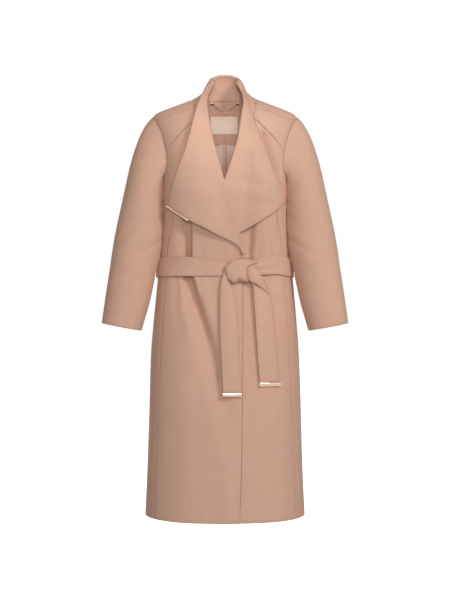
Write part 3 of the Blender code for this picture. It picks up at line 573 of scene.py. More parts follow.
@dataclass(frozen=True)
class CoatPattern:
    """The seams and free edges of the coat, and the grids of its panels, on its form."""

    form: CoatForm = field(default_factory=CoatForm)
    # Roll lines, where each front turns outward into its lapel: height, x
    roll_rows: Mapping[Side, Table] = field(default_factory=lambda: {
        Side.RIGHT: (
            (-423, 45), (-330, 20), (-228, -8), (-124, -36), (-83, -45), (-12, -53),
            (12, -51), (36, -43), (57, -31),
        ),
        Side.LEFT: (
            (-423, -65), (-330, -38), (-208, 10), (-153, 28), (-124, 37), (-46, 49),
            (-12, 54), (12, 52), (36, 44), (57, 32),
        ),
    })
    # Straight edges below the belt: height, x
    front_edge_rows: Mapping[Side, Table] = field(default_factory=lambda: {
        Side.RIGHT: ((-1112, 38), (-982, 43), (-795, 46), (-496, 47)),
        Side.LEFT: ((-1112, -20), (-795, -20), (-600, -22), (-496, -44)),
    })
    # Side seams at the front: height, x
    side_front_rows: Table = (
        (-1112, 188), (-850, 178), (-640, 169), (-480, 158),
        (-406, 154), (-311, 137), (-250, 143), (-194, 156),
    )
    # Side seams at the back: height, x
    side_back_rows: Table = ((-1112, 150), (-850, 142), (-620, 132), (-450, 118), (-300, 132), (-194, 158))
    # Seams: x, height
    shoulder_points: Table = ((79, -31), (102, -34), (132, -43), (173, -57), (187, -58))
    yoke_armhole_points: Table = ((187, -58), (173, -86), (165, -110), (157, -145))
    front_armhole_points: Table = ((157, -145), (154.5, -170), (156, -194))
    back_armhole_points: Table = ((158, -196), (151, -150), (155, -105), (172, -72), (186, -54))
    collar_front_points: Table = ((61, -38), (73, -55))
    collar_neck_points: Table = ((73, -55), (77, -43), (79, -31))
    neck_front_points: Table = ((79, -31), (81, -20), (83, -8))
    back_neck_points: Table = ((76, 4), (50, 8), (0, 11))
    # Points beside the body, where x says little: girth angle, height
    underarm_points: Table = ((74, -214), (90, -228), (107, -214))
    armhole_ridge_point: Table = ((90, -44),)
    neck_ridge_point: Table = ((90, 3),)
    collar_crown_points: Table = ((118, 70), (148, 75), (180, 76))
    levels: tuple[float, ...] = (
        -1112, -1040, -960, -880, -805, -735, -670, -610, -555, -510, -480,
        -452, -418, -392, -352, -308, -262, -228, -194,
    )
    spine_levels: tuple[float, ...] = (-194, -148, -102, -60, -24, 11)
    collar_levels: tuple[float, ...] = (-22, -8, 8, 24, 40, 54)
    diagonal_points: Table = ((73, -55), (97, -80), (131, -115), (157, -145))
    upper_rows: int = 6
    collar_steps: int = 4
    diagonal_steps: int = 10
    neck_steps: int = 5
    lapel_end: float = -418.0
    side_corner: float = -262.0
    # How far the left front sinks under the lapels, and below the belt where the right front laps over
    lapel_room: float = 11.5
    overlap_room: float = 4.8
    overlap_extra: float = 8.0
    # How many parts each space of the pattern is cut into
    detail: int = 4

    @property
    def armhole_row(self) -> int:
        """The row of points at the armhole's lowest corner, where a panel's edge turns."""
        return (len(self.levels) - 1) * self.detail

    def finer(self, levels: Sequence[float]) -> Array:
        """The levels with each space between them cut evenly."""
        at = np.linspace(0, len(levels) - 1, (len(levels) - 1) * self.detail + 1)
        return np.interp(at, np.arange(len(levels)), levels)

    @staticmethod
    def on_side(points: Table, side: Side) -> Array:
        """Girth angles and heights, on one side of the coat."""
        return np.array([(side.value * angle, height) for angle, height in points], float)

    def curve(self, points: Table, side: Side, back: bool = False) -> Array:
        """A smooth curve on one side of the form, from x and height."""
        fine = refined(np.array(points, float), [8] * (len(points) - 1))
        return np.column_stack([side.value * self.form.girth(fine[:, 0], fine[:, 1], back), fine[:, 1]])

    def seam_at(self, rows: Table, sign: int, heights: Sequence[float] | Array, back: bool = False) -> Array:
        """A seam's points at these heights."""
        x = smooth_table(rows, heights)[:, 0]
        return np.column_stack([sign * self.form.girth(x, np.asarray(heights, float), back), heights])

    def front_edge(self, side: Side, heights: Sequence[float] | Array) -> Array:
        """The roll line above the belt and the straight edge below it."""
        return self.seam_at(self.front_edge_rows[side] + self.roll_rows[side], 1, heights)

    def armhole_parts(self, side: Side) -> tuple[Array, Array, Array, Array]:
        """The armhole in four stretches: along the yoke, the front, the side panel and the back.

        Args:
            side: The armhole's side.

        Returns:
            The stretches, each as girth angles and heights.
        """
        form, detail = self.form, self.detail
        yoke = form.resample(self.curve(self.yoke_armhole_points, side), 4 * detail + 1)
        front = form.resample(self.curve(self.front_armhole_points, side), self.upper_rows * detail + 1)
        under = self.on_side(self.underarm_points, side)
        start = form.front_points(self.front_armhole_points[-1:], side)
        end = form.back_points(self.back_armhole_points[:1], side)
        below = form.resample(np.vstack([start, under, end]), 5 * detail + 1)
        top = form.front_points(self.shoulder_points[-1:], side)
        ridge = self.on_side(self.armhole_ridge_point, side)
        back = np.vstack([self.curve(self.back_armhole_points, side, True), ridge, top])
        steps = len(self.spine_levels) - 1 + self.neck_steps
        return yoke, front, below, form.resample(back, steps * detail + 1)

    def shoulder_seam(self, side: Side) -> Array:
        """From the neck to the shoulder tip."""
        seam = self.curve(self.shoulder_points, side)
        return self.form.resample(seam, self.diagonal_steps * self.detail + 1)

    def neckline(self, side: Side) -> Array:
        """From the shoulder seam over the ridge to the centre back.

        Args:
            side: Its side.

        Returns:
            Girth angles and heights.
        """
        start = self.curve(self.neck_front_points, side)
        ridge = self.on_side(self.neck_ridge_point, side)
        back = self.curve(self.back_neck_points, side, True)
        return self.form.resample(np.vstack([start, ridge, back]), self.neck_steps * self.detail + 1)

    def diagonal_seam(self, side: Side) -> Array:
        """From the neck seam to the armhole."""
        seam = self.curve(self.diagonal_points, side)
        return self.form.resample(seam, self.diagonal_steps * self.detail + 1)

    def collar_front_seam(self, side: Side) -> Array:
        """From the roll line to the diagonal seam, where the collar meets the front.

        Args:
            side: Its side.

        Returns:
            Girth angles and heights.
        """
        start = self.front_edge(side, self.collar_levels[:1])
        points = np.vstack([start, self.curve(self.collar_front_points, side)])
        return self.form.resample(points, self.collar_steps * self.detail + 1)

    def under_front_depth(self, grid: Array) -> Array:
        """How far the wearer's left front sinks where the right front and its own lapel lie on it.

        Args:
            grid: Girth angles and heights.

        Returns:
            A depth for each point.
        """
        points = self.form.point(grid)
        below_belt = smooth_step((-400 - points[..., 2]) / 35)
        above = smooth_step((-110 - points[..., 2]) / 90)
        hidden = smooth_step((46 - points[..., 0]) / 66)
        overlap = self.overlap_room + self.overlap_extra * hidden
        room = self.lapel_room * above * (1 - below_belt) + overlap * below_belt
        return room * smooth_step((104 - points[..., 0]) / 56)

    def front_grid(self, side: Side) -> Array:
        """A front, from its free edge to the side seam, up to the diagonal seam.

        Args:
            side: Its side.

        Returns:
            A grid of girth angles and heights.
        """
        levels = self.finer(self.levels)
        _, armhole, _, _ = self.armhole_parts(side)
        top = np.vstack([self.collar_front_seam(side), self.diagonal_seam(side)[1:]])
        seam = self.seam_at(self.side_front_rows, side.value, levels)
        lower = ruled(self.front_edge(side, levels), seam, len(top))
        upper_levels = np.linspace(levels[-1], self.collar_levels[0], self.upper_rows * self.detail + 1)
        upper = coons(lower[-1], top, self.front_edge(side, upper_levels), armhole[::-1])
        return np.vstack([lower, upper[1:]])

    def yoke_grid(self, side: Side) -> Array:
        """The shoulder panel above the diagonal seam.

        Args:
            side: Its side.

        Returns:
            A grid of girth angles and heights.
        """
        armhole, _, _, _ = self.armhole_parts(side)
        neck = self.form.resample(self.curve(self.collar_neck_points, side), len(armhole))
        return coons(self.diagonal_seam(side), self.shoulder_seam(side), neck, armhole[::-1])

    def side_grid(self, side: Side) -> Array:
        """The side panel, from the hem to the armhole.

        Args:
            side: Its side.

        Returns:
            A grid of girth angles and heights.
        """
        levels = self.finer(self.levels)
        _, _, below, _ = self.armhole_parts(side)
        front = self.seam_at(self.side_front_rows, side.value, levels)
        back = self.seam_at(self.side_back_rows, side.value, levels, back=True)
        back[-1] = below[-1]
        start = self.levels.index(self.side_corner) * self.detail
        lower = ruled(front[: start + 1], back[: start + 1], len(below))
        upper = coons(lower[-1], below, front[start:], back[start:])
        return np.vstack([lower, upper[1:]])

    def back_grid(self, side: Side) -> Array:
        """Half of the back, from the centre back seam to the side seam, armhole, shoulder and neck.

        Args:
            side: Its side.

        Returns:
            A grid of girth angles and heights.
        """
        levels = self.finer(self.levels)
        _, _, _, armhole = self.armhole_parts(side)
        seam = self.seam_at(self.side_back_rows, side.value, levels, back=True)
        seam[-1] = armhole[0]
        centre = np.column_stack([np.full(len(levels), side.value * 180.0), levels])
        top = self.shoulder_seam(side)
        lower = ruled(centre, seam, len(top))
        spine = np.array([(side.value * 180.0, height) for height in self.finer(self.spine_levels)])
        upper = coons(lower[-1], top, np.vstack([spine, self.neckline(side)[::-1][1:]]), armhole)
        return np.vstack([lower, upper[1:]])

    def inner_back_grid(self, first: int, last: int, columns: int) -> Array:
        """The middle of the back across both halves, between two rows of its points.

        Args:
            first: The first row.
            last: The last row.
            columns: How many columns each half has.

        Returns:
            A grid of girth angles and heights.
        """
        left = self.back_grid(Side.LEFT)[first : last + 1, : columns + 1]
        right = self.back_grid(Side.RIGHT)[first : last + 1, 1 : columns + 1]
        right[..., 0] += 360.0
        return np.concatenate([left[:, ::-1], right], axis=1)

    def collar_grid(self) -> Array:
        """The stand: from one front, round the back of the neck, to the other front.

        Returns:
            A grid of girth angles and heights.
        """
        form, halves = self.form, []
        for side in (Side.LEFT, Side.RIGHT):
            neck = form.resample(self.curve(self.collar_neck_points, side), 3 * self.detail + 1)
            base = np.vstack([neck, self.neckline(side)[1:]])
            rise = self.front_edge(side, self.finer(self.collar_levels))
            crown = self.on_side(self.collar_crown_points, side)
            rest = form.resample(np.vstack([rise[-1:], crown]), len(base) - len(rise) + 1)[1:]
            front = self.collar_front_seam(side)[::-1]
            centre = np.linspace(base[-1], crown[-1], len(front))
            halves.append(coons(base, np.vstack([rise, rest]), front, centre))
        left, right = halves
        right = right[:, ::-1].copy()
        right[..., 0] += 360.0
        return np.concatenate([left, right[:, 1:]], axis=1)

    def lapel_levels(self, rows_each: int) -> Array:
        """Heights of a lapel's rows from the collar down, with each space between the pattern's rows cut.

        Args:
            rows_each: How many parts each space is cut into.

        Returns:
            The heights.
        """
        upper = np.linspace(self.collar_levels[0], self.levels[-1], self.upper_rows + 1)
        lower = [z for z in reversed(self.levels) if self.lapel_end <= z < self.levels[-1]]
        coarse = np.concatenate([self.collar_levels[:0:-1], upper, lower])
        at = np.linspace(0, len(coarse) - 1, (len(coarse) - 1) * rows_each + 1)
        return np.interp(at, np.arange(len(coarse)), coarse)


@dataclass
class ClothShell:
    """Cloth of an even thickness over a grid of points, with rounded edges."""

    thickness: float = CLOTH
    gap: float = -0.2
    round_steps: int = 3
    # How far in from the edges the painted shade of the 'seam' value reaches
    seam_width: float = 3.5

    def build(
        self, name: str, middle: Array, normal: Array, material: bpy.types.Material
    ) -> bpy.types.Object:
        """A closed mesh round a middle surface.

        Args:
            name: The object's name.
            middle: A grid of points in millimetres.
            normal: Directions out of the cloth's face, one for each point.
            material: Its finish.

        Returns:
            The new object, in the scene.
        """
        radius = self.thickness / 2
        rows, columns = middle.shape[:2]
        inward = self._edge_directions(middle)
        border = self._border(rows, columns)
        centre = middle.copy()
        flat = centre.reshape(-1, 3)
        flat[border] += inward * (radius + self.gap)
        faces_out = (centre + normal * radius).reshape(-1, 3)
        faces_in = (centre - normal * radius).reshape(-1, 3)
        rims = []
        square = normal.reshape(-1, 3)[border]
        for step in range(1, self.round_steps + 1):
            turn = math.pi * step / (self.round_steps + 1)
            rims.append(flat[border] + radius * (square * math.cos(turn) - inward * math.sin(turn)))
        points = np.vstack([faces_out, faces_in, *rims])
        faces = self._faces(rows, columns, border)
        # Painted shade: the 'seam' value rises towards the cloth's edges and is full on its rounded rims, and
        # the finishes darken their colour by it
        edge = np.exp(-edge_distance(middle) / self.seam_width).ravel()
        seam = np.concatenate([edge, edge, np.ones(len(border) * self.round_steps)])
        return add_mesh(name, points, faces, material, {"seam": seam})

    def _edge_directions(self, middle: Array) -> Array:
        """Directions from each point of the border into the cloth.

        Args:
            middle: The cloth's middle.

        Returns:
            A direction for each point of the border.
        """
        inward = np.zeros_like(middle)
        inward[0] += unit(middle[1] - middle[0])
        inward[-1] += unit(middle[-2] - middle[-1])
        inward[:, 0] += unit(middle[:, 1] - middle[:, 0])
        inward[:, -1] += unit(middle[:, -2] - middle[:, -1])
        rows, columns = middle.shape[:2]
        return unit(inward.reshape(-1, 3)[self._border(rows, columns)])

    @staticmethod
    def _border(rows: int, columns: int) -> Array:
        """Indices of the border's points, in order round the grid.

        Args:
            rows: The grid's rows.
            columns: The grid's columns.

        Returns:
            The indices.
        """
        top = np.arange(columns - 1)
        right = np.arange(rows - 1) * columns + columns - 1
        bottom = (rows - 1) * columns + np.arange(columns - 1, 0, -1)
        left = np.arange(rows - 1, 0, -1) * columns
        return np.concatenate([top, right, bottom, left])

    def _faces(self, rows: int, columns: int, border: Array) -> Array:
        """Four-cornered faces of both sides and of the rounded rim.

        Args:
            rows: The grid's rows.
            columns: The grid's columns.
            border: Indices of the border's points.

        Returns:
            The faces, as indices of points.
        """
        i, j = np.meshgrid(np.arange(rows - 1), np.arange(columns - 1), indexing="ij")
        corner = (i * columns + j).ravel()
        face = np.column_stack([corner, corner + 1, corner + columns + 1, corner + columns])
        total = rows * columns
        rings = [border]
        for step in range(self.round_steps):
            rings.append(2 * total + step * len(border) + np.arange(len(border)))
        rings.append(border + total)
        parts = [face, face[:, ::-1] + total]
        for ring, following in zip(rings, rings[1:]):
            parts.append(np.column_stack([np.roll(ring, -1), ring, following, np.roll(following, -1)]))
        return np.vstack(parts)


def add_mesh(
    name: str,
    points: Array,
    faces: Array | Sequence[Sequence[int]],
    material: bpy.types.Material,
    attributes: Mapping[str, Array] | None = None,
) -> bpy.types.Object:
    """A smooth mesh object from points in millimetres, with its faces pointing out.

    Args:
        name: The object's name.
        points: Its points.
        faces: Its faces, as indices of points.
        material: Its finish.
        attributes: Values to keep on its points, by name.

    Returns:
        The new object, in the scene.
    """
    corners = np.array([face[:3] for face in faces])
    volume = np.sum(points[corners[:, 0]] * np.cross(points[corners[:, 1]], points[corners[:, 2]]))
    if isinstance(faces, np.ndarray) and faces.shape[1] == 4:
        volume += np.sum(points[faces[:, 0]] * np.cross(points[faces[:, 2]], points[faces[:, 3]]))
    listed = [tuple(int(k) for k in face) for face in faces]
    if volume < 0:
        listed = [tuple(reversed(face)) for face in listed]
    mesh = bpy.data.meshes.new(name)
    mesh.from_pydata((points * MM).tolist(), [], listed)
    mesh.materials.append(material)
    mesh.shade_smooth()
    for title, values in (attributes or {}).items():
        kept = mesh.attributes.new(title, "FLOAT", "POINT")
        kept.data.foreach_set("value", values.astype(np.float32))
    made = bpy.data.objects.new(name, mesh)
    bpy.context.scene.collection.objects.link(made)
    return made


def lofted(rings: Sequence[Array] | Array, closed: bool = False) -> Skin:
    """A skin over rings of points, with a flat face over each end unless the last ring meets the first.

    Args:
        rings: The rings, each with the same number of points.
        closed: Whether the last meets the first.

    Returns:
        The points and the faces.
    """
    total, count = len(rings), len(rings[0])
    faces: list[tuple[int, ...]] = []
    for i in range(total if closed else total - 1):
        k = (i + 1) % total
        for j in range(count):
            m = (j + 1) % count
            faces.append((i * count + j, i * count + m, k * count + m, k * count + j))
    if not closed:
        faces.append(tuple(reversed(range(count))))
        faces.append(tuple((total - 1) * count + j for j in range(count)))
    return np.vstack(rings), faces


def joined(skins: Iterable[Skin]) -> Skin:
    """Several skins as one.

    Args:
        skins: The skins.

    Returns:
        The points and the faces.
    """
    points: list[Array] = []
    faces: list[tuple[int, ...]] = []
    base = 0
    for part, part_faces in skins:
        points.append(part)
        faces += [tuple(base + k for k in face) for face in part_faces]
        base += len(part)
    return np.vstack(points), faces


def tube(path: Array, radius: float, sides: int, closed: bool = False) -> Skin:
    """A round tube along a path.

    Args:
        path: The line it follows.
        radius: Its radius.
        sides: How many sides its section has.
        closed: Whether its end meets its start.

    Returns:
        The points and the faces.
    """
    if closed:
        along = unit(np.roll(path, -1, axis=0) - np.roll(path, 1, axis=0))
    else:
        along = unit(np.gradient(path, axis=0))
    up = np.array([0.0, 0.0, 1.0])
    if abs(along[:, 2]).mean() > 0.8:
        up = np.array([0.0, -1.0, 0.0])
    first = unit(np.cross(along, up))
    second = np.cross(first, along)
    turn = 2 * math.pi * np.arange(sides) / sides
    ring = first[:, None] * np.cos(turn)[None, :, None] + second[:, None] * np.sin(turn)[None, :, None]
    return lofted(path[:, None] + radius * ring, closed)


class Value:
    """A shader socket's output. Arithmetic on it adds Math nodes."""

    def __init__(self, shader: "Shader", socket: bpy.types.NodeSocket) -> None:
        """Wraps a socket of a shader's tree."""
        self.shader = shader
        self.socket = socket

    def _math(self, operation: str, first: "Value | float", second: "Value | float") -> "Value":
        """The result of a Math node on two values."""
        return self.shader.value("ShaderNodeMath", {"operation": operation}, {0: first, 1: second})

    def __add__(self, other: "Value | float") -> "Value":
        """The sum."""
        return self._math("ADD", self, other)

    __radd__ = __add__

    def __sub__(self, other: "Value | float") -> "Value":
        """The difference."""
        return self._math("SUBTRACT", self, other)

    def __rsub__(self, other: "Value | float") -> "Value":
        """The difference, the other way round."""
        return self._math("SUBTRACT", other, self)

    def __mul__(self, other: "Value | float") -> "Value":
        """The product."""
        return self._math("MULTIPLY", self, other)

    __rmul__ = __mul__


class Shader:
    """The node tree of a material or of the world."""

    def __init__(self, owner: bpy.types.Material | bpy.types.World) -> None:
        """Takes the owner's tree, with the nodes that it starts with.

        Args:
            owner: The material or world.
        """
        owner.use_nodes = True
        self.owner = owner
        self.tree = owner.node_tree

    @classmethod
    def named(cls, name: str) -> "Shader":
        """The shader of a new material."""
        return cls(bpy.data.materials.new(name))

    def principled(self, inputs: Inputs) -> bpy.types.Material:
        """The material, once its Principled BSDF has these inputs."""
        self.feed(self.tree.nodes["Principled BSDF"], inputs)
        return self.owner

    def node(self, kind: str, settings: Settings, inputs: Inputs) -> bpy.types.Node:
        """Any node.

        Args:
            kind: Its type.
            settings: Its own settings, which are set first. "stops" are a ramp's places and colours.
            inputs: Numbers, colours or values for its sockets.

        Returns:
            The new node.
        """
        made = self.tree.nodes.new(kind)
        for name, setting in settings.items():
            if name == "stops":
                for element, (place, colour) in zip(made.color_ramp.elements, setting):
                    element.position = place
                    element.color = (*colour, 1.0)
            else:
                setattr(made, name, setting)
        self.feed(made, inputs)
        return made

    def feed(self, node: bpy.types.Node, inputs: Inputs) -> None:
        """Sets or links a node's sockets.

        Args:
            node: The node.
            inputs: Numbers, colours or values for its sockets.
        """
        for name, given in inputs.items():
            if isinstance(given, Value):
                self.tree.links.new(given.socket, node.inputs[name])
            else:
                node.inputs[name].default_value = given

    def value(self, kind: str, settings: Settings, inputs: Inputs, output: str | int = 0) -> Value:
        """One output of a new node."""
        return Value(self, self.node(kind, settings, inputs).outputs[output])

    def place(self, scale: tuple[float, float, float] = (1.0, 1.0, 1.0)) -> Value:
        """Places on the object, in metres, stretched by a scale."""
        where = self.value("ShaderNodeTexCoord", {}, {}, "Object")
        return self.value("ShaderNodeMapping", {}, {"Vector": where, "Scale": scale})

    def noise(self, where: Value, scale: float, detail: float = 2.0, roughness: float = 0.5) -> Value:
        """Soft noise around 0.5."""
        inputs = {"Vector": where, "Scale": scale, "Detail": detail, "Roughness": roughness}
        return self.value("ShaderNodeTexNoise", {}, inputs, 0)

    def attribute(self, name: str) -> Value:
        """A value kept on the mesh's points."""
        return self.value("ShaderNodeAttribute", {"attribute_name": name}, {}, "Fac")

    def mix(self, factor: Value | float, first: Value | Colour, second: Value | Colour) -> Value:
        """A colour between two.

        Args:
            factor: How far it is towards the second.
            first: The first colour.
            second: The second colour.

        Returns:
            The colour.
        """
        inputs: dict[str | int, object] = {0: factor}
        for socket, colour in ((6, first), (7, second)):
            inputs[socket] = colour if isinstance(colour, Value) else (*colour, 1.0)
        return self.value("ShaderNodeMix", {"data_type": "RGBA", "clamp_factor": True}, inputs, 2)

    def bump(self, height: Value, strength: float, distance: float) -> Value:
        """A normal from a height."""
        inputs = {"Height": height, "Strength": strength, "Distance": distance}
        return self.value("ShaderNodeBump", {}, inputs)


def tinted(colour: Colour, share: float) -> Colour:
    """The colour made lighter or darker by a share of itself."""
    return tuple(min(1.0, channel * share) for channel in colour)


@dataclass(frozen=True)
class WoolFinish:
    """Dense coating wool with a short raised nap, camel with a rose cast."""

    name: str = "wool"
    slot: str = "coat_cloth"
    colour: Colour = (0.67, 0.40, 0.29)
    roughness: float = 0.86
    sheen: float = 0.16
    nap_strength: float = 0.32
    nap_depth: float = 0.0007
    nap_scale: float = 950.0
    fibre_scale: float = 620.0
    mottle_scale: float = 42.0
    cloud_scale: float = 9.0

    def material(self) -> bpy.types.Material:
        """The material, made of nap, hanging fibres and slow changes of tone, with painted shade darkening it
        along its seams and edges.

        Returns:
            The new material.
        """
        shader = Shader.named(self.name)
        nap = shader.noise(shader.place(), self.nap_scale, 3.0, 0.6)
        fibres = shader.noise(shader.place((1.0, 1.0, 0.28)), self.fibre_scale, 2.0, 0.55)
        mottle = shader.noise(shader.place(), self.mottle_scale, 3.0, 0.55)
        cloud = shader.noise(shader.place((1.0, 1.0, 0.5)), self.cloud_scale)
        seam = shader.attribute("seam")
        tone = nap * 0.45 + fibres * 0.45 + mottle * 0.5 + cloud * 0.35 - 0.375
        body = shader.mix(tone, tinted(self.colour, 0.86), tinted(self.colour, 1.12))
        # Painted shade: the colour darkens towards the seams, edges and rims, by the 'seam' value
        seam_shaded = shader.mix(seam * 0.22, body, tinted(self.colour, 0.62))
        return shader.principled({
            "Base Color": seam_shaded,
            "Roughness": self.roughness - 0.06 + nap * 0.12,
            "Normal": shader.bump(nap * 0.55 + fibres * 0.45, self.nap_strength, self.nap_depth),
            "Sheen Weight": self.sheen,
            "Sheen Roughness": 0.45,
            "Sheen Tint": (1.0, 0.86, 0.76, 1.0),
            "Specular IOR Level": 0.22,
        })


@dataclass(frozen=True)
class LiningFinish:
    """Plain woven lining with a soft sheen."""

    name: str = "woven_lining"
    slot: str = "lining"
    colour: Colour = (0.60, 0.33, 0.23)
    weave_scale: float = 110.0
    mottle_scale: float = 60.0

    def material(self) -> bpy.types.Material:
        """The material, made of fine crossing threads.

        Returns:
            The new material.
        """
        shader = Shader.named(self.name)
        where = shader.place()
        threads = []
        for direction in ("X", "Z"):
            settings = {"wave_type": "BANDS", "bands_direction": direction}
            bands = shader.value("ShaderNodeTexWave", settings, {"Vector": where, "Scale": self.weave_scale})
            threads.append(shader.value("ShaderNodeSeparateColor", {}, {0: bands}, 0) * 0.5)
        weave = threads[0] + threads[1]
        mottle = shader.noise(where, self.mottle_scale, 2.0)
        tone = weave * 0.4 + mottle * 0.6
        return shader.principled({
            "Base Color": shader.mix(tone, tinted(self.colour, 0.88), tinted(self.colour, 1.12)),
            "Roughness": 0.36 + mottle * 0.12,
            "Normal": shader.bump(weave, 0.25, 0.0002),
            "Sheen Weight": 0.1,
        })


@dataclass(frozen=True)
class LabelFinish:
    """Blank satin, pale peach."""

    name: str = "satin_label"
    slot: str = "label"
    colour: Colour = (0.98, 0.73, 0.58)
    float_scale: float = 1500.0
    cloud_scale: float = 70.0

    def material(self) -> bpy.types.Material:
        """The material, made of long satin floats across the label, with painted shade darkening it towards
        its edges.

        Returns:
            The new material.
        """
        shader = Shader.named(self.name)
        floats = shader.noise(shader.place((0.35, 1.0, 1.0)), self.float_scale)
        cloud = shader.noise(shader.place(), self.cloud_scale)
        seam = shader.attribute("seam")
        tone = floats * 0.5 + cloud * 0.5
        face = shader.mix(tone, tinted(self.colour, 0.93), tinted(self.colour, 1.04))
        return shader.principled({
            # Painted shade: the colour darkens towards the label's edges and rims, by the 'seam' value
            "Base Color": shader.mix(seam * 0.25, face, tinted(self.colour, 0.7)),
            "Roughness": 0.42 + floats * 0.12,
            "Normal": shader.bump(floats, 0.2, 0.0002),
            "Sheen Weight": 0.1,
        })


@dataclass(frozen=True)
class MetalFinish:
    """Polished metal with a rose gold colour."""

    name: str = "rose_gold"
    slot: str = "rose_metal"
    colour: Colour = (0.92, 0.68, 0.52)
    roughness: float = 0.2
    rubbed_scale: float = 900.0
    cloud_scale: float = 120.0

    def material(self) -> bpy.types.Material:
        """The material, with fine rubbed marks in its roughness and tone.

        Returns:
            The new material.
        """
        shader = Shader.named(self.name)
        rubbed = shader.noise(shader.place((0.25, 1.0, 1.0)), self.rubbed_scale, 3.0)
        cloud = shader.noise(shader.place(), self.cloud_scale)
        return shader.principled({
            "Base Color": shader.mix(cloud, tinted(self.colour, 0.93), tinted(self.colour, 1.05)),
            "Metallic": 1.0,
            "Roughness": self.roughness + rubbed * 0.14 - 0.04,
            "Normal": shader.bump(rubbed, 0.06, 0.0002),
        })


@dataclass(frozen=True)
class FloorFinish:
    """The studio's pale floor."""

    name: str = "studio_floor"
    glow: float = 0.9
    grain_scale: float = 30.0

    def material(self) -> bpy.types.Material:
        """The material, pale and even, with a faint grain.

        Returns:
            The new material.
        """
        shader = Shader.named(self.name)
        grain = shader.noise(shader.place(), self.grain_scale)
        return shader.principled({
            "Base Color": shader.mix(grain, (0.90, 0.90, 0.90), (0.94, 0.94, 0.94)),
            "Roughness": 0.9,
            "Emission Color": (1.0, 1.0, 1.0, 1.0),
            "Emission Strength": self.glow,
        })


Finish = WoolFinish | LiningFinish | LabelFinish | MetalFinish


@dataclass
class Wardrobe:
    """The finishes that the pieces share, each made once."""

    made: dict[str, bpy.types.Material] = field(default_factory=dict)

    def dress(self, finish: Finish) -> bpy.types.Material:
        """The finish's material.

        Args:
            finish: The finish.

        Returns:
            Its material, new or made before.
        """
        if finish.name not in self.made:
            self.made[finish.name] = finish.material()
        return self.made[finish.name]


class Hold(Enum):
    """How a sheet of cloth is held."""

    HUNG = "hung"
    FOLDED = "folded"


@dataclass
class Tailor:
    """Places pieces in the frame: their body, the node each stands for and their finish, and logs their cut.
    """

    wardrobe: Wardrobe = field(default_factory=Wardrobe)
    wool: WoolFinish = field(default_factory=WoolFinish)
    metal: MetalFinish = field(default_factory=MetalFinish)

    def place(self, piece: bpy.types.Object, node: str, slot: str) -> None:
        """Puts the piece under the root body, hides the part of the node that it stands for and logs it.

        Args:
            piece: The piece.
            node: The node.
            slot: Not used.
        """
        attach(piece, "root")
        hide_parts(node)
        log.info("%s: %d faces, stands for %s", piece.name, len(piece.data.polygons), node)

    def solid(self, name: str, skin: Skin, node: str, finish: Finish) -> None:
        """A piece that isn't a sheet, from its points and faces, on its node's place."""
        piece = add_mesh(name, *skin, self.wardrobe.dress(finish))
        self.place(piece, node, finish.slot)

    def sheet(self, piece: bpy.types.Object, middle: Array) -> None:
        """Logs the size that a piece of cloth is cut to: its width, length and area.

        Args:
            piece: The piece.
            middle: The middle of its cloth, as a grid in millimetres.
        """
        width = run_lengths(middle, 1)[:, -1].max() * MM
        length = run_lengths(middle, 0)[-1].max() * MM
        first = np.cross(middle[1:, :-1] - middle[:-1, :-1], middle[:-1, 1:] - middle[:-1, :-1])
        second = np.cross(middle[1:, :-1] - middle[1:, 1:], middle[:-1, 1:] - middle[1:, 1:])
        area = (np.linalg.norm(first, axis=-1).sum() + np.linalg.norm(second, axis=-1).sum()) / 2 * MM**2
        area = min(max(area, 0.31 * width * length), width * length)
        log.info("%s: cut %.3f x %.3f m, %.4f square metres", piece.name, width, length, area)

    def cloth(
        self, node: str, middle: Array, normal: Array, hold: Hold, rests_on: Sequence[str],
        thickness: float = CLOTH, name: str = "", finish: Finish | None = None,
    ) -> None:
        """A piece of cloth on its node's place.

        Args:
            node: The node that it stands for.
            middle: The middle of its cloth.
            normal: Directions out of its face.
            hold: Not used.
            rests_on: Not used.
            thickness: Its thickness.
            name: Its name, where that isn't the node's with _cloth.
            finish: Its finish, where that isn't wool.
        """
        finish = finish or self.wool
        name = name or node + "_cloth"
        piece = ClothShell(thickness).build(name, middle, normal, self.wardrobe.dress(finish))
        self.place(piece, node, finish.slot)
        self.sheet(piece, middle)


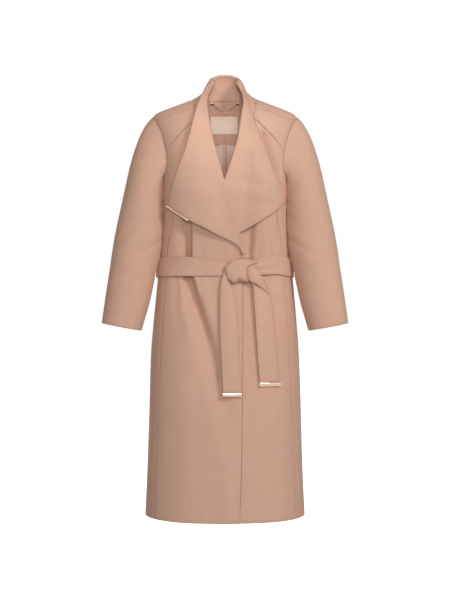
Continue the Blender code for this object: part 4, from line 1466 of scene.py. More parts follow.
@dataclass
class CoatBody:
    """The panels of the body: fronts, shoulders, side panels and backs."""

    tailor: Tailor
    pattern: CoatPattern
    folds: FoldSet = field(default_factory=FoldSet)
    drift: Drift = field(default_factory=Drift)
    spacing: float = 4.2
    seam_dip: float = 0.7
    seam_width: float = 3.0
    seam_fade: float = 14.0

    def build(self) -> None:
        """Builds every panel."""
        pattern = self.pattern
        turn, corner = pattern.armhole_row, pattern.collar_steps * pattern.detail
        self._panel("front_right", pattern.front_grid(Side.RIGHT), Panel.RIGHT_FRONT, [turn], [corner])
        self._panel("front_left", pattern.front_grid(Side.LEFT), Panel.LEFT_FRONT, [turn], [corner])
        spine_end = turn + (len(pattern.spine_levels) - 1) * pattern.detail
        for side in Side:
            self._panel(f"shoulder_{side.word}", pattern.yoke_grid(side), Panel.PLAIN, [], [])
            self._panel(f"side_{side.word}", pattern.side_grid(side), Panel.SIDES, [], [])
            self._panel(f"back_{side.word}", pattern.back_grid(side), Panel.BACK, [turn, spine_end], [])

    def surface(self, grid: Array, panel: Panel) -> Array:
        """The face of the cloth over a grid.

        Args:
            grid: Girth angles and heights.
            panel: The panel, for its folds. They run out before a seam to another panel.

        Returns:
            Points in millimetres.
        """
        form = self.pattern.form
        bare = form.point(grid)
        down, across = run_lengths(bare, 0), run_lengths(bare, 1)
        to_seam = np.minimum(down[-1:] - down, across[:, -1:] - across)
        if panel in (Panel.SIDES, Panel.PLAIN):
            to_seam = np.minimum(to_seam, across)
        lift = self.drift.rise(bare) - self.folds.sink(panel, bare) * smooth_step(to_seam / self.seam_fade)
        if panel is Panel.LEFT_FRONT:
            lift = lift - self.pattern.under_front_depth(grid)
        return form.lifted(grid, lift)

    def _panel(
        self, name: str, coarse: Array, panel: Panel, row_breaks: Sequence[int], column_breaks: Sequence[int]
    ) -> None:
        """One panel of cloth, filled in from its pattern.

        Args:
            name: Its node.
            coarse: Its pattern's grid.
            panel: The panel, for its folds.
            row_breaks: Rows at which its edge turns a corner.
            column_breaks: Columns at which its edge turns a corner.
        """
        form = self.pattern.form
        grid = form.filled(coarse, (self.spacing, self.spacing), row_breaks, column_breaks)
        grid = with_edge_lines(grid, form.point(grid))
        face = self.surface(grid, panel)
        normal = turned_out(grid_normals(face), form.normal(grid), each=True)
        dip = self.seam_dip * np.exp(-((edge_distance(face) / self.seam_width) ** 2))
        middle = face - normal * dip[..., None] - normal * CLOTH / 2
        self.tailor.cloth(name, middle, normal, Hold.HUNG, ["collar_cloth"])


@dataclass
class Collar:
    """The standing collar, which passes into the lapels."""

    tailor: Tailor
    pattern: CoatPattern
    spacing: float = 4.0
    thickness: float = 3.0
    edge_thickness: float = 3.2
    turn_start: float = 0.285
    turn_ends: float = 9.0
    turn_middle: float = 7.0
    turn_drop: float = 2.4
    turn_hold: float = 2.4
    turn_gap: float = 0.6
    turn_settle: float = 2.0
    # A soft dent in each half: angle from the centre back, height, half width in degrees, half height, depth
    dent: tuple[float, ...] = (46.0, 44.0, 16.0, 16.0, 1.2)

    def build(self) -> None:
        """Builds the collar's cloth."""
        form = self.pattern.form
        grid = form.filled(self.pattern.collar_grid(), (self.spacing, self.spacing))
        grid = with_edge_lines(grid, form.point(grid))
        aside, level, half_width, half_height, depth = self.dent
        around = (np.abs(grid[..., 0] - 180) - aside) / half_width
        upward = (grid[..., 1] - level) / half_height
        face = form.lifted(grid, -depth * np.exp(-(around**2)) * np.exp(-(upward**2)))
        normal = turned_out(grid_normals(face), form.normal(grid), each=True)
        middle = face - normal * self.thickness / 2
        carriers = ["back_right_cloth", "back_left_cloth"]
        self.tailor.cloth("collar", middle, normal, Hold.FOLDED, carriers, self.thickness)
        self._turned_edge(grid)

    def _turned_edge(self, grid: Array) -> None:
        """The collar's upper edge, turned outward from one lapel round the back to the other.

        Args:
            grid: The collar's girth angles and heights.
        """
        form = self.pattern.form
        share = run_lengths(form.point(grid[-1]))
        share = share / share[-1]
        kept = (share > self.turn_start) & (share < 1 - self.turn_start)
        edge, share = grid[-1][kept], share[kept]
        place, normal = form.lifted(edge, -CLOTH / 2), form.normal(edge)
        along = unit(np.gradient(place, axis=0))
        upward = unit(np.cross(along, normal))
        upward *= np.sign(np.sum(upward[:, 2]))
        place = place - self.turn_drop * upward
        turn = np.linspace(0, math.pi, 11)
        reach = list(ROLL_RADIUS * np.sin(turn) + self.turn_gap)
        rise = list(ROLL_RADIUS * (1 - np.cos(turn)))
        middle_share = np.sin(math.pi * (share - self.turn_start) / (1 - 2 * self.turn_start)) ** 0.5
        flap = self.turn_ends + (self.turn_middle - self.turn_ends) * middle_share
        columns = [place - self.turn_hold * upward]
        columns += [place + r * upward + h * normal for r, h in zip(reach, rise)]
        for part in np.linspace(0.15, 1, 7):
            lift = 2 * ROLL_RADIUS - self.turn_settle * part**2
            columns.append(place - (flap * part)[:, None] * upward + lift * normal)
        middle = np.stack(columns, axis=1)
        outward = grid_normals(middle)
        outward *= np.sign(np.sum(outward[:, -1] * normal))
        carriers, name = ["collar_cloth"], "collar_turned_edge"
        self.tailor.cloth("collar", middle, outward, Hold.FOLDED, carriers, self.edge_thickness, name)


@dataclass
class Lapels:
    """The two wide lapels, turned back along their roll lines."""

    tailor: Tailor
    pattern: CoatPattern
    # Free edges, from the collar to the tip and back to the roll: x, height, lift
    outer_rows: Mapping[Side, Table] = field(default_factory=lambda: {
        Side.RIGHT: (
            (-40, 58, 0), (-52, 37, 2), (-80, -53, 12), (-101, -141, 16),
            (-125, -204, 15), (-151, -289, 9),
        ),
        Side.LEFT: (
            (41, 58, 0), (52, 37, 1), (74, -54, 7), (91, -110, 10),
            (124, -199, 11), (142, -236, 9), (157, -281, 6),
        ),
    })
    lower_rows: Mapping[Side, Table] = field(default_factory=lambda: {
        Side.RIGHT: (
            (-151, -289, 9), (-94, -331, 11), (-62, -347, 12), (-20, -369, 13),
            (20, -388, 12), (39, -403, 8), (46, -418, 2),
        ),
        Side.LEFT: (
            (157, -281, 6), (125, -311, 5), (78, -341, 3), (40, -362, 0),
            (-8, -388, 0), (-52, -418, 0),
        ),
    })
    thickness: float = 3.4
    rows_each: int = 5
    columns: int = 40
    roll_steps: int = 12
    roll_gap: float = 1.0
    bulge: float = 1.6
    # Soft shapes in the flap's face
    dents: Mapping[Side, tuple[Fold, ...]] = field(default_factory=lambda: {
        Side.RIGHT: (
            Fold(Panel.PLAIN, (-96, -318), (-36, -352), (9, 11), (-1.5, -2.2), 0, 20),
            Fold(Panel.PLAIN, (-20, -250), (10, -372), (12, 16), (1.2, 2.0), 0, 40),
            Fold(Panel.PLAIN, (-66, -60), (-92, -170), (9, 14), (1.2, 1.8), 0, 40),
        ),
        Side.LEFT: (
            Fold(Panel.PLAIN, (42, -228), (82, -236), (11, 13), (3.6, 2.8), 0, 16),
            Fold(Panel.PLAIN, (52, -252), (96, -262), (13, 16), (-2.0, -1.6), 0, 18),
            Fold(Panel.PLAIN, (70, -110), (96, -180), (10, 14), (1.4, 1.8), 0, 40),
            Fold(Panel.PLAIN, (96, -286), (132, -288), (14, 9), (1.2, 0.6), 0, 20),
        ),
    })

    def build(self) -> None:
        """Builds both lapels."""
        for side in Side:
            self._lapel(side)

    def flap(self, side: Side) -> tuple[Array, Array]:
        """x, height and lift over a flap, between its roll line and its free edge.

        Args:
            side: The lapel's side.

        Returns:
            The grid, and how far each column is from the roll, from 0 to 1.
        """
        pattern = self.pattern
        levels = pattern.lapel_levels(self.rows_each)
        count = len(levels)
        rows = pattern.front_edge_rows[side] + pattern.roll_rows[side]
        roll = np.column_stack([smooth_table(rows, levels)[:, 0], levels, np.zeros(count)])
        outer, lower = np.array(self.outer_rows[side], float), np.array(self.lower_rows[side], float)
        outer_reach, lower_reach = run_lengths(outer[:, :2]), run_lengths(lower[:, :2])
        edge = smooth_table(np.column_stack([outer_reach, outer]), np.linspace(0, outer_reach[-1], count))
        u = np.linspace(0, 1, self.columns)
        hem = smooth_table(np.column_stack([lower_reach, lower]), (1 - u) * lower_reach[-1])
        hem[0] = roll[-1]
        head = roll[0] * (1 - u[:, None]) + edge[0] * u[:, None]
        return coons(head, hem, roll, edge), u

    def _sunk(self, side: Side, grid: Array) -> Array | float:
        """How far the front under a lapel is sunk."""
        return self.pattern.under_front_depth(grid) if side is Side.LEFT else 0.0

    def _lapel(self, side: Side) -> None:
        """One lapel: the cloth rolls outward at the front's edge and lies back over the front.

        Args:
            side: The lapel's side.
        """
        form, sign = self.pattern.form, side.value
        flap, u = self.flap(side)
        edge = np.stack([form.girth(flap[:, 0, 0], flap[:, 0, 1]), flap[:, 0, 1]], axis=-1)
        reached = form.lifted(edge, -CLOTH / 2 - self._sunk(side, edge))
        flap[..., :2] += (reached[:, [0, 2]] - flap[:, 0, :2])[:, None] * (1 - u)[None, :, None]
        along = np.gradient(flap[:, 0, :2], axis=0)
        outward = unit(np.column_stack([along[:, 1], -along[:, 0]]) * sign)
        turn = np.linspace(0, math.pi, self.roll_steps + 1)[:-1]
        reach = ROLL_RADIUS * np.sin(turn) + self.roll_gap
        roll = np.zeros((len(flap), len(turn), 3))
        roll[..., :2] = flap[:, 0:1, :2] + outward[:, None] * reach[None, :, None]
        roll[..., 2] = ROLL_RADIUS * (1 - np.cos(turn)) - CLOTH / 2
        body = flap.copy()
        bulge = self.bulge * np.sin(math.pi * u) ** 2
        body[..., 2] = 2 * ROLL_RADIUS - CLOTH / 2 + flap[..., 2] * smooth_step(u) + bulge
        for dent in self.dents[side]:
            body[..., 2] -= dent.depth(flap[..., 0], flap[..., 1])
        full = np.concatenate([roll, body], axis=1)
        under = np.stack([form.girth(full[..., 0], full[..., 1]), full[..., 1]], axis=-1)
        lift = full[..., 2] - self._sunk(side, under)
        grid = form.placed(full[..., 0], full[..., 1], lift)
        middle = form.lifted(grid, lift)
        normal = grid_normals(middle)
        normal *= np.sign(np.sum(normal[:, -1] * form.normal(grid[:, -1]), axis=-1))[:, None, None]
        name = f"lapel_{side.word}"
        carriers = ["collar_cloth", f"front_{side.word}_cloth"]
        self.tailor.cloth(name, middle, normal, Hold.FOLDED, carriers, self.thickness)


@dataclass
class Sleeves:
    """The set-in sleeves, each of an upper and an under piece."""

    tailor: Tailor
    pattern: CoatPattern
    # Sleeve tube, from the armhole to the cuff: height, outer x, inner x, centre y, half depth
    rows: Table = (
        (-236, 264, 156, -20, 66),
        (-300, 277, 160, -28, 62),
        (-380, 293, 168, -35, 58),
        (-450, 303.5, 184, -40, 54),
        (-530, 315, 201, -45, 50),
        (-608, 326, 222.5, -50, 46),
    )
    tilt: float = 0.19
    # Room beside the body: closer than it at the underarm, then clear of it, and more beside the belt
    closeness: float = 2.4
    clearance: float = 2.2
    free_start: float = -205.0
    free_run: float = 110.0
    belt_room: float = 3.4
    belt_run: float = 48.0
    head_steps: int = 24
    tube_steps: int = 70
    # How the cloth leaves the armhole and reaches the tube, as shares of the way: outward, y, z
    leave: Place = (0.55, 0.0, -0.40)
    arrive: Place = (0.19, -0.1, -1.0)
    # Creases: middle angle, height there, tilt, half width, half length in degrees, depth
    crease_rows: Table = (
        (178, -262, 26, 9, 40, 2.6), (170, -300, 34, 11, 46, 2.0), (186, -352, 30, 10, 42, 1.8),
        (120, -398, 22, 12, 38, 1.6), (150, -432, -20, 10, 44, 1.9), (205, -452, 18, 9, 36, 1.6),
        (96, -470, -16, 12, 30, 1.2), (250, -420, 14, 12, 34, 1.4), (236, -470, -12, 11, 32, 1.2),
        (60, -360, 20, 16, 30, 0.9), (70, -520, 14, 14, 28, 0.8), (140, -556, -14, 11, 36, 0.9),
        (300, -330, -18, 18, 30, 0.9), (320, -500, 16, 18, 30, 0.7), (20, -440, 16, 20, 30, 0.6),
    )
    # The right sleeve's creases lie at heights this much further down than the left's
    right_drop: float = 1.15**0.1

    def build(self) -> None:
        """Builds both sleeves."""
        for side in Side:
            self._sleeve(side)

    def ring(self, side: Side, height: float, turn: Array) -> Array:
        """A ring of the sleeve tube, kept clear of the body beside it.

        Args:
            side: The sleeve's side.
            height: The ring's height at its middle.
            turn: Angles round the sleeve, 0 at its outside.

        Returns:
            The ring's points.
        """
        outer_x, inner_x, centre_y, half_depth = smooth_table(self.rows, height)
        half_width = (outer_x - inner_x) / 2
        x = (outer_x + inner_x) / 2 + half_width * np.cos(turn)
        y = centre_y - half_depth * np.sin(turn)
        z = height + (x - (outer_x + inner_x) / 2) * self.tilt
        body_width, _, front_y, back_y, squareness = self.pattern.form.section(z)
        reach = np.abs(y / np.where(y < 0, front_y, back_y))
        free = smooth_step((self.free_start - z) / self.free_run)
        clearance = self.clearance * free - self.closeness * (1.0 - free)
        belt_room = self.belt_room * np.exp(-(((z - WAIST) / self.belt_run) ** 2))
        widest = body_width + clearance + belt_room
        side_x = widest * np.clip(1 - reach**squareness, 0, 1) ** (1 / squareness)
        return np.column_stack([side.value * np.maximum(x, side_x), y, z])

    def _sleeve(self, side: Side) -> None:
        """One sleeve, in two pieces.

        Args:
            side: The sleeve's side.
        """
        form, sign = self.pattern.form, side.value
        yoke, front, below, back = self.pattern.armhole_parts(side)
        ring = np.vstack([yoke, front[1:], below[1:], back[1:-1]])
        total, detail = len(ring), self.pattern.detail
        flush = form.lifted(ring, -CLOTH / 2)
        under_arm = smooth_step((-80 - ring[:, 1]) / 110)
        turned = smooth_step((-40 - ring[:, 1]) / 60)
        inward = flush.mean(axis=0) - flush
        outward = form.normal(ring)
        inward -= outward * np.sum(inward * outward, axis=1, keepdims=True)
        inward = unit(inward)
        start = flush + inward * (0.1 + 0.3 * turned)[:, None] + outward * (0.5 * under_arm)[:, None]
        steps = np.linalg.norm(np.roll(start, -1, axis=0) - start, axis=1)
        reach = np.concatenate([[0.0], np.cumsum(steps)])
        crown = reach[total - 2 * detail]
        turn = 2 * math.pi * (reach[:-1] - crown + reach[-1]) / reach[-1]
        first = self.ring(side, self.rows[0][0], turn)
        chord = np.linalg.norm(first - start, axis=1, keepdims=True)
        mirror = np.array([sign, 1.0, 1.0])
        leave = chord * mirror * self.leave
        arrive = chord * mirror * self.arrive
        rings = []
        for t in np.linspace(0, 1, self.head_steps + 1)[:-1]:
            rings.append(
                (2 * t**3 - 3 * t**2 + 1) * start + (t**3 - 2 * t**2 + t) * leave
                + (3 * t**2 - 2 * t**3) * first + (t**3 - t**2) * arrive
            )
        for height in np.linspace(self.rows[0][0], self.rows[-1][0], self.tube_steps):
            rings.append(self.ring(side, height, turn))
        middle = np.array(rings)
        normal = grid_normals(middle, around=True) * sign
        middle = middle + normal * self._creases(side, turn, middle)[..., None]
        normal = grid_normals(middle, around=True) * sign
        front_seam = len(yoke) + len(front) - 2 + 3 * detail
        back_seam = total - 6 * detail
        under = list(range(front_seam, back_seam + 1))
        upper = [k % total for k in range(back_seam, total + front_seam + 1)]
        for word, columns in (("upper", upper), ("under", under)):
            node = f"sleeve_{word}_{side.word}"
            carriers = [f"shoulder_{side.word}_cloth", f"back_{side.word}_cloth"]
            self.tailor.cloth(node, middle[:, columns], normal[:, columns], Hold.HUNG, carriers)

    def _creases(self, side: Side, turn: Array, middle: Array) -> Array:
        """How far soft creases lift the sleeve's cloth.

        Args:
            side: The sleeve's side.
            turn: Angles round the sleeve.
            middle: Its points.

        Returns:
            A lift for each point.
        """
        around = np.degrees(np.broadcast_to(turn, middle.shape[:2])) % 360.0
        height = middle[..., 2]
        drop = 1.0 if side is Side.LEFT else self.right_drop
        lift = np.zeros(middle.shape[:2])
        for centre, level, tilt, width, length, depth in self.crease_rows:
            away = (around - centre + 180.0) % 360.0 - 180.0
            above = (height - level * drop - tilt * away / length) / width
            crest = 0.45 * np.exp(-((above - 1.7) ** 2))
            lift += depth * (crest - np.exp(-(above**2))) * np.exp(-((away / length) ** 2))
        return lift


@dataclass
class ControlPatch:
    """A piece of belt cloth over a small net of points on the front: x, height and lift."""

    net: tuple[tuple[tuple[float, float, float], ...], ...]
    creases: tuple[Fold, ...] = ()
    steps: tuple[int, int] = (9, 9)
    edge_drop: float = 0.0
    edge_width: float = 5.0

    def surface(self, form: CoatForm) -> tuple[Array, Array]:
        """The middle of the cloth and its outward directions.

        Args:
            form: The coat's form.

        Returns:
            The middle, as a grid in millimetres, and a direction for each point.
        """
        net = np.array(self.net, float)
        grid = refined(net, [self.steps[0]] * (len(net) - 1), 0)
        grid = refined(grid, [self.steps[1]] * (net.shape[1] - 1), 1)
        lift = grid[..., 2].copy()
        for crease in self.creases:
            lift -= crease.depth(grid[..., 0], grid[..., 1])
        lift -= self.edge_drop * np.exp(-((edge_distance(grid) / self.edge_width) ** 2))
        middle = form.raised(grid[..., 0], grid[..., 1], lift)
        return middle, turned_out(grid_normals(middle), FRONT)


@dataclass
class Belt:
    """The tie belt: its band, its knot and its two hanging ends."""

    tailor: Tailor
    pattern: CoatPattern
    width: float = 51.0
    lift: float = 0.9
    band_ends: tuple[float, float] = (62.0, 8.0)
    band_steps: int = 300
    band_rows: int = 13
    end_steps: int = 66
    end_columns: int = 15
    # How the band's edges rise after its left end: degrees from it, half width in degrees, top, bottom
    left_bends: Table = ((0, 9, -16, 10), (26, 14, 4, 5))
    # The same before its right end
    right_bends: Table = ((0, 12, -10, 0),)
    band_creases: tuple[Fold, ...] = (
        Fold(Panel.PLAIN, (84, -440), (116, -438), (3.2, 4.5), (1.5, 0.3), 0, 8),
        Fold(Panel.PLAIN, (90, -460), (116, -457), (3.0, 5.0), (1.5, 0.4), 0, 8),
        Fold(Panel.PLAIN, (78, -450), (140, -432), (5.0, 8.0), (-2.6, -1.6), 3, 14),
        Fold(Panel.PLAIN, (100, -466), (150, -466), (5.0, 7.0), (-1.2, -0.8), 0, 14),
        Fold(Panel.PLAIN, (16, -436), (-6, -458), (4.0, 6.0), (1.2, 0.5), 0, 9),
        Fold(Panel.PLAIN, (-2, -436), (-28, -446), (5.0, 9.0), (-1.0, -0.4), 0, 14),
        Fold(Panel.PLAIN, (-29, -430), (-31, -462), (4.0, 5.0), (0.5, 0.3), 0, 10),
    )
    # Hanging ends: height, left x, right x, lift, how far the middle stands out
    right_end_rows: Table = (
        (-456, -1, 12, 9.0, 0.5), (-470, -5, 9, 8.5, 1.0), (-484, -9, 7, 8.0, 2.4),
        (-500, -11.5, 15, 7.6, 3.4), (-518, -13, 22.5, 7.2, 4.2), (-550, -14, 28.5, 7.0, 4.0),
        (-616, -13, 33, 7.0, 3.0), (-700, -9, 38, 6.0, 1.8), (-775, -5, 42, 5.0, 0.8),
    )
    left_end_rows: Table = (
        (-466, 60, 86, 6.0, 0.5), (-488, 68, 99, 5.4, 1.0), (-505, 73.5, 106.5, 5.4, 1.6),
        (-520, 74.5, 113, 5.8, 2.0), (-531, 75, 119, 6.4, 2.4), (-560, 76.5, 124.5, 7.0, 3.2),
        (-589, 78.5, 127, 7.0, 3.0), (-664, 83, 134.5, 6.4, 2.0), (-750, 89.5, 140.5, 5.0, 0.8),
    )
    knot: ControlPatch = field(default_factory=lambda: ControlPatch(
        net=(
            ((14, -438.5, 17), (31, -431.5, 18), (49, -428.5, 19), (67, -431.5, 18), (86, -439.5, 13)),
            ((5, -447, 18), (22, -441, 20), (44, -438, 21), (63, -439, 20), (77, -444, 16)),
            ((-4, -457, 17), (14, -457, 21), (37, -456, 23), (54, -455, 22.5), (59.5, -456, 20)),
            ((0, -470, 17), (15, -474, 20), (35, -475, 23), (50, -473, 23), (57.5, -470, 20)),
            ((6, -481.5, 15), (23, -494.5, 17), (37, -488.5, 19), (50, -490.5, 19), (64, -490.5, 16)),
        ),
        creases=(
            Fold(Panel.PLAIN, (20, -446), (40, -452), (3.0, 4.5), (1.8, 0.5), 1.5, 8),
            Fold(Panel.PLAIN, (36, -486), (33, -470), (3.2, 5.5), (3.4, 0.6), 0, 6),
            Fold(Panel.PLAIN, (50, -488), (46, -474), (3.0, 5.0), (1.4, 0.3), 0, 6),
            Fold(Panel.PLAIN, (14, -484), (14, -470), (3.5, 5.0), (1.6, 0.4), 0, 6),
        ),
        edge_drop=9.0,
    ))
    facet: ControlPatch = field(default_factory=lambda: ControlPatch(
        net=(
            ((55, -457, 12), (64, -450, 15), (73, -445.5, 14)),
            ((58, -471, 15), (70, -461, 18), (82, -455.5, 16)),
            ((65, -489, 17), (78, -475.5, 19), (90, -465.5, 16)),
            ((74, -493, 17), (87, -484.5, 18.5), (97.5, -479, 15)),
            ((86, -502, 15), (96, -495, 16.5), (105.5, -494, 13)),
            ((98, -511, 12), (106, -508.5, 14), (112, -509.5, 11)),
            ((110, -521, 11), (113.5, -521.5, 12), (117, -522.5, 10.4)),
            ((119, -532.6, 9.8), (119.5, -532.8, 9.9), (120.1, -533, 9.7)),
        ),
        creases=(Fold(Panel.PLAIN, (66, -452), (92, -482), (3.5, 5.0), (1.2, 0.5), 0, 10),),
        steps=(6, 10),
        edge_drop=3.0,
    ))

    def build(self) -> None:
        """Builds the band, the knot and the ends."""
        self._band()
        self._knot()
        self._end("belt_end_right", self.right_end_rows)
        self._end("belt_end_left", self.left_end_rows)

    def _band(self) -> None:
        """The band, from one side of the knot round the back to the other side."""
        form = self.pattern.form
        start, end = (float(form.girth(x, WAIST)) for x in self.band_ends)
        end += 360.0
        angles = np.linspace(start, end, self.band_steps)
        top = np.full(angles.shape, WAIST + self.width / 2)
        bottom = np.full(angles.shape, WAIST - self.width / 2)
        for bends, away in ((self.left_bends, angles - start), (self.right_bends, end - angles)):
            for place, half_width, top_rise, bottom_rise in bends:
                share = np.exp(-(((away - place) / half_width) ** 2))
                top += top_rise * share
                bottom += bottom_rise * share
        v = np.linspace(0, 1, self.band_rows)[:, None]
        heights = bottom * (1 - v) + top * v
        grid = np.stack([np.broadcast_to(angles, heights.shape), heights], axis=-1)
        lift = self.lift + BELT_CLOTH / 2 + self._band_creases(form.point(grid), angles, heights)
        middle = form.lifted(grid, lift)
        normal = turned_out(grid_normals(middle), form.normal(grid))
        carriers = ["front_right_cloth", "front_left_cloth"]
        self.tailor.cloth("belt_band", middle, normal, Hold.FOLDED, carriers, BELT_CLOTH)

    def _band_creases(self, points: Array, angles: Array, heights: Array) -> Array:
        """How far creases near the knot lift the band.

        Args:
            points: The band's points on the form.
            angles: Its columns' girth angles.
            heights: Its points' heights.

        Returns:
            A lift for each point.
        """
        in_front = smooth_step(-points[..., 1] / 30)
        depth = sum(crease.depth(points[..., 0], heights) for crease in self.band_creases)
        turn = np.radians(angles)
        slow = 0.35 * np.sin(turn * 7.0 + 0.6) + 0.25 * np.sin(turn * 17.0)
        rows_up = (heights - WAIST) / self.width
        return slow[None, :] * (0.6 + rows_up) + 0.6 - in_front * depth

    def _knot(self) -> None:
        """The wrap of the knot and the turned face of the wearer's left end."""
        patches = (
            (self.knot, "belt_knot", "belt_knot_wrap", "belt_band_cloth"),
            (self.facet, "belt_end_left", "belt_end_left_turned_face", "belt_knot_wrap"),
        )
        for patch, node, name, carrier in patches:
            middle, normal = patch.surface(self.pattern.form)
            self.tailor.cloth(node, middle, normal, Hold.FOLDED, [carrier], BELT_CLOTH, name)

    def _end(self, node: str, rows: Table) -> None:
        """A belt end that hangs down the front.

        Args:
            node: Its node.
            rows: Its table: height, left x, right x, lift, crown.
        """
        heights = np.linspace(rows[0][0], rows[-1][0], self.end_steps)
        left, right, lift, crown = np.moveaxis(smooth_table(rows, heights), -1, 0)
        u = np.linspace(0, 1, self.end_columns)[None, :]
        x = left[:, None] * (1 - u) + right[:, None] * u
        z = np.broadcast_to(heights[:, None], x.shape)
        rise = lift[:, None] + BELT_CLOTH / 2 + crown[:, None] * np.sin(math.pi * u) ** 0.8
        middle = self.pattern.form.raised(x, z, rise)
        normal = turned_out(grid_normals(middle), FRONT)
        self.tailor.cloth(node, middle, normal, Hold.HUNG, ["belt_knot_wrap"], BELT_CLOTH)


@dataclass
class MetalTrim:
    """Rose gold bars on the belt ends and on the right lapel's tip."""

    tailor: Tailor
    pattern: CoatPattern
    bevel_steps: int = 4
    bevel_share: float = 0.8
    # The rolled, hollow ends, from inside out: how far in from the end, share of the section
    end_profile: Table = ((1.6, 0.42), (1.2, 0.50), (0.3, 0.62), (0.0, 0.80), (0.3, 0.95), (1.0, 1.0))

    def build(self) -> None:
        """Builds the three bars, each in its node's place."""
        for node in ("belt_bar_right", "belt_bar_left", "lapel_bar"):
            self._bar(node)

    def _bar(self, node: str) -> None:
        """A bar with a rounded section and hollow, rolled ends.

        Args:
            node: Its node, whose place it takes.
        """
        points = np.array([vertex.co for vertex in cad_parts[node].data.vertices]) / MM
        centre = points.mean(axis=0)
        _, _, axes = np.linalg.svd(points - centre)
        along, second, third = axes
        if along[0] < 0:
            along = -along
        spans = [np.ptp((points - centre) @ axis) / 2 for axis in (along, second, third)]
        half_length, half_width, half_depth = spans
        profile = self._rounded(half_width, half_depth)
        stations = [(inset - half_length, scale) for inset, scale in self.end_profile]
        stations += [(-reach, scale) for reach, scale in reversed(stations)]
        rings = [
            centre + along * reach + scale * (profile[:, :1] * second + profile[:, 1:] * third)
            for reach, scale in stations
        ]
        self.tailor.solid(node + "_metal", lofted(rings), node, self.tailor.metal)

    def _rounded(self, half_width: float, half_depth: float) -> Array:
        """Points round a rounded rectangle.

        Args:
            half_width: Half its width.
            half_depth: Half its depth.

        Returns:
            The points, in two columns.
        """
        radius = min(half_width, half_depth) * self.bevel_share
        straight = np.array([half_width - radius, half_depth - radius])
        points = []
        for corner, signs in enumerate(((1, -1), (1, 1), (-1, 1), (-1, -1))):
            for step in range(self.bevel_steps + 1):
                turn = math.pi / 2 * (corner - 1 + step / self.bevel_steps)
                points.append(straight * signs + radius * np.array([math.cos(turn), math.sin(turn)]))
        return np.array(points)


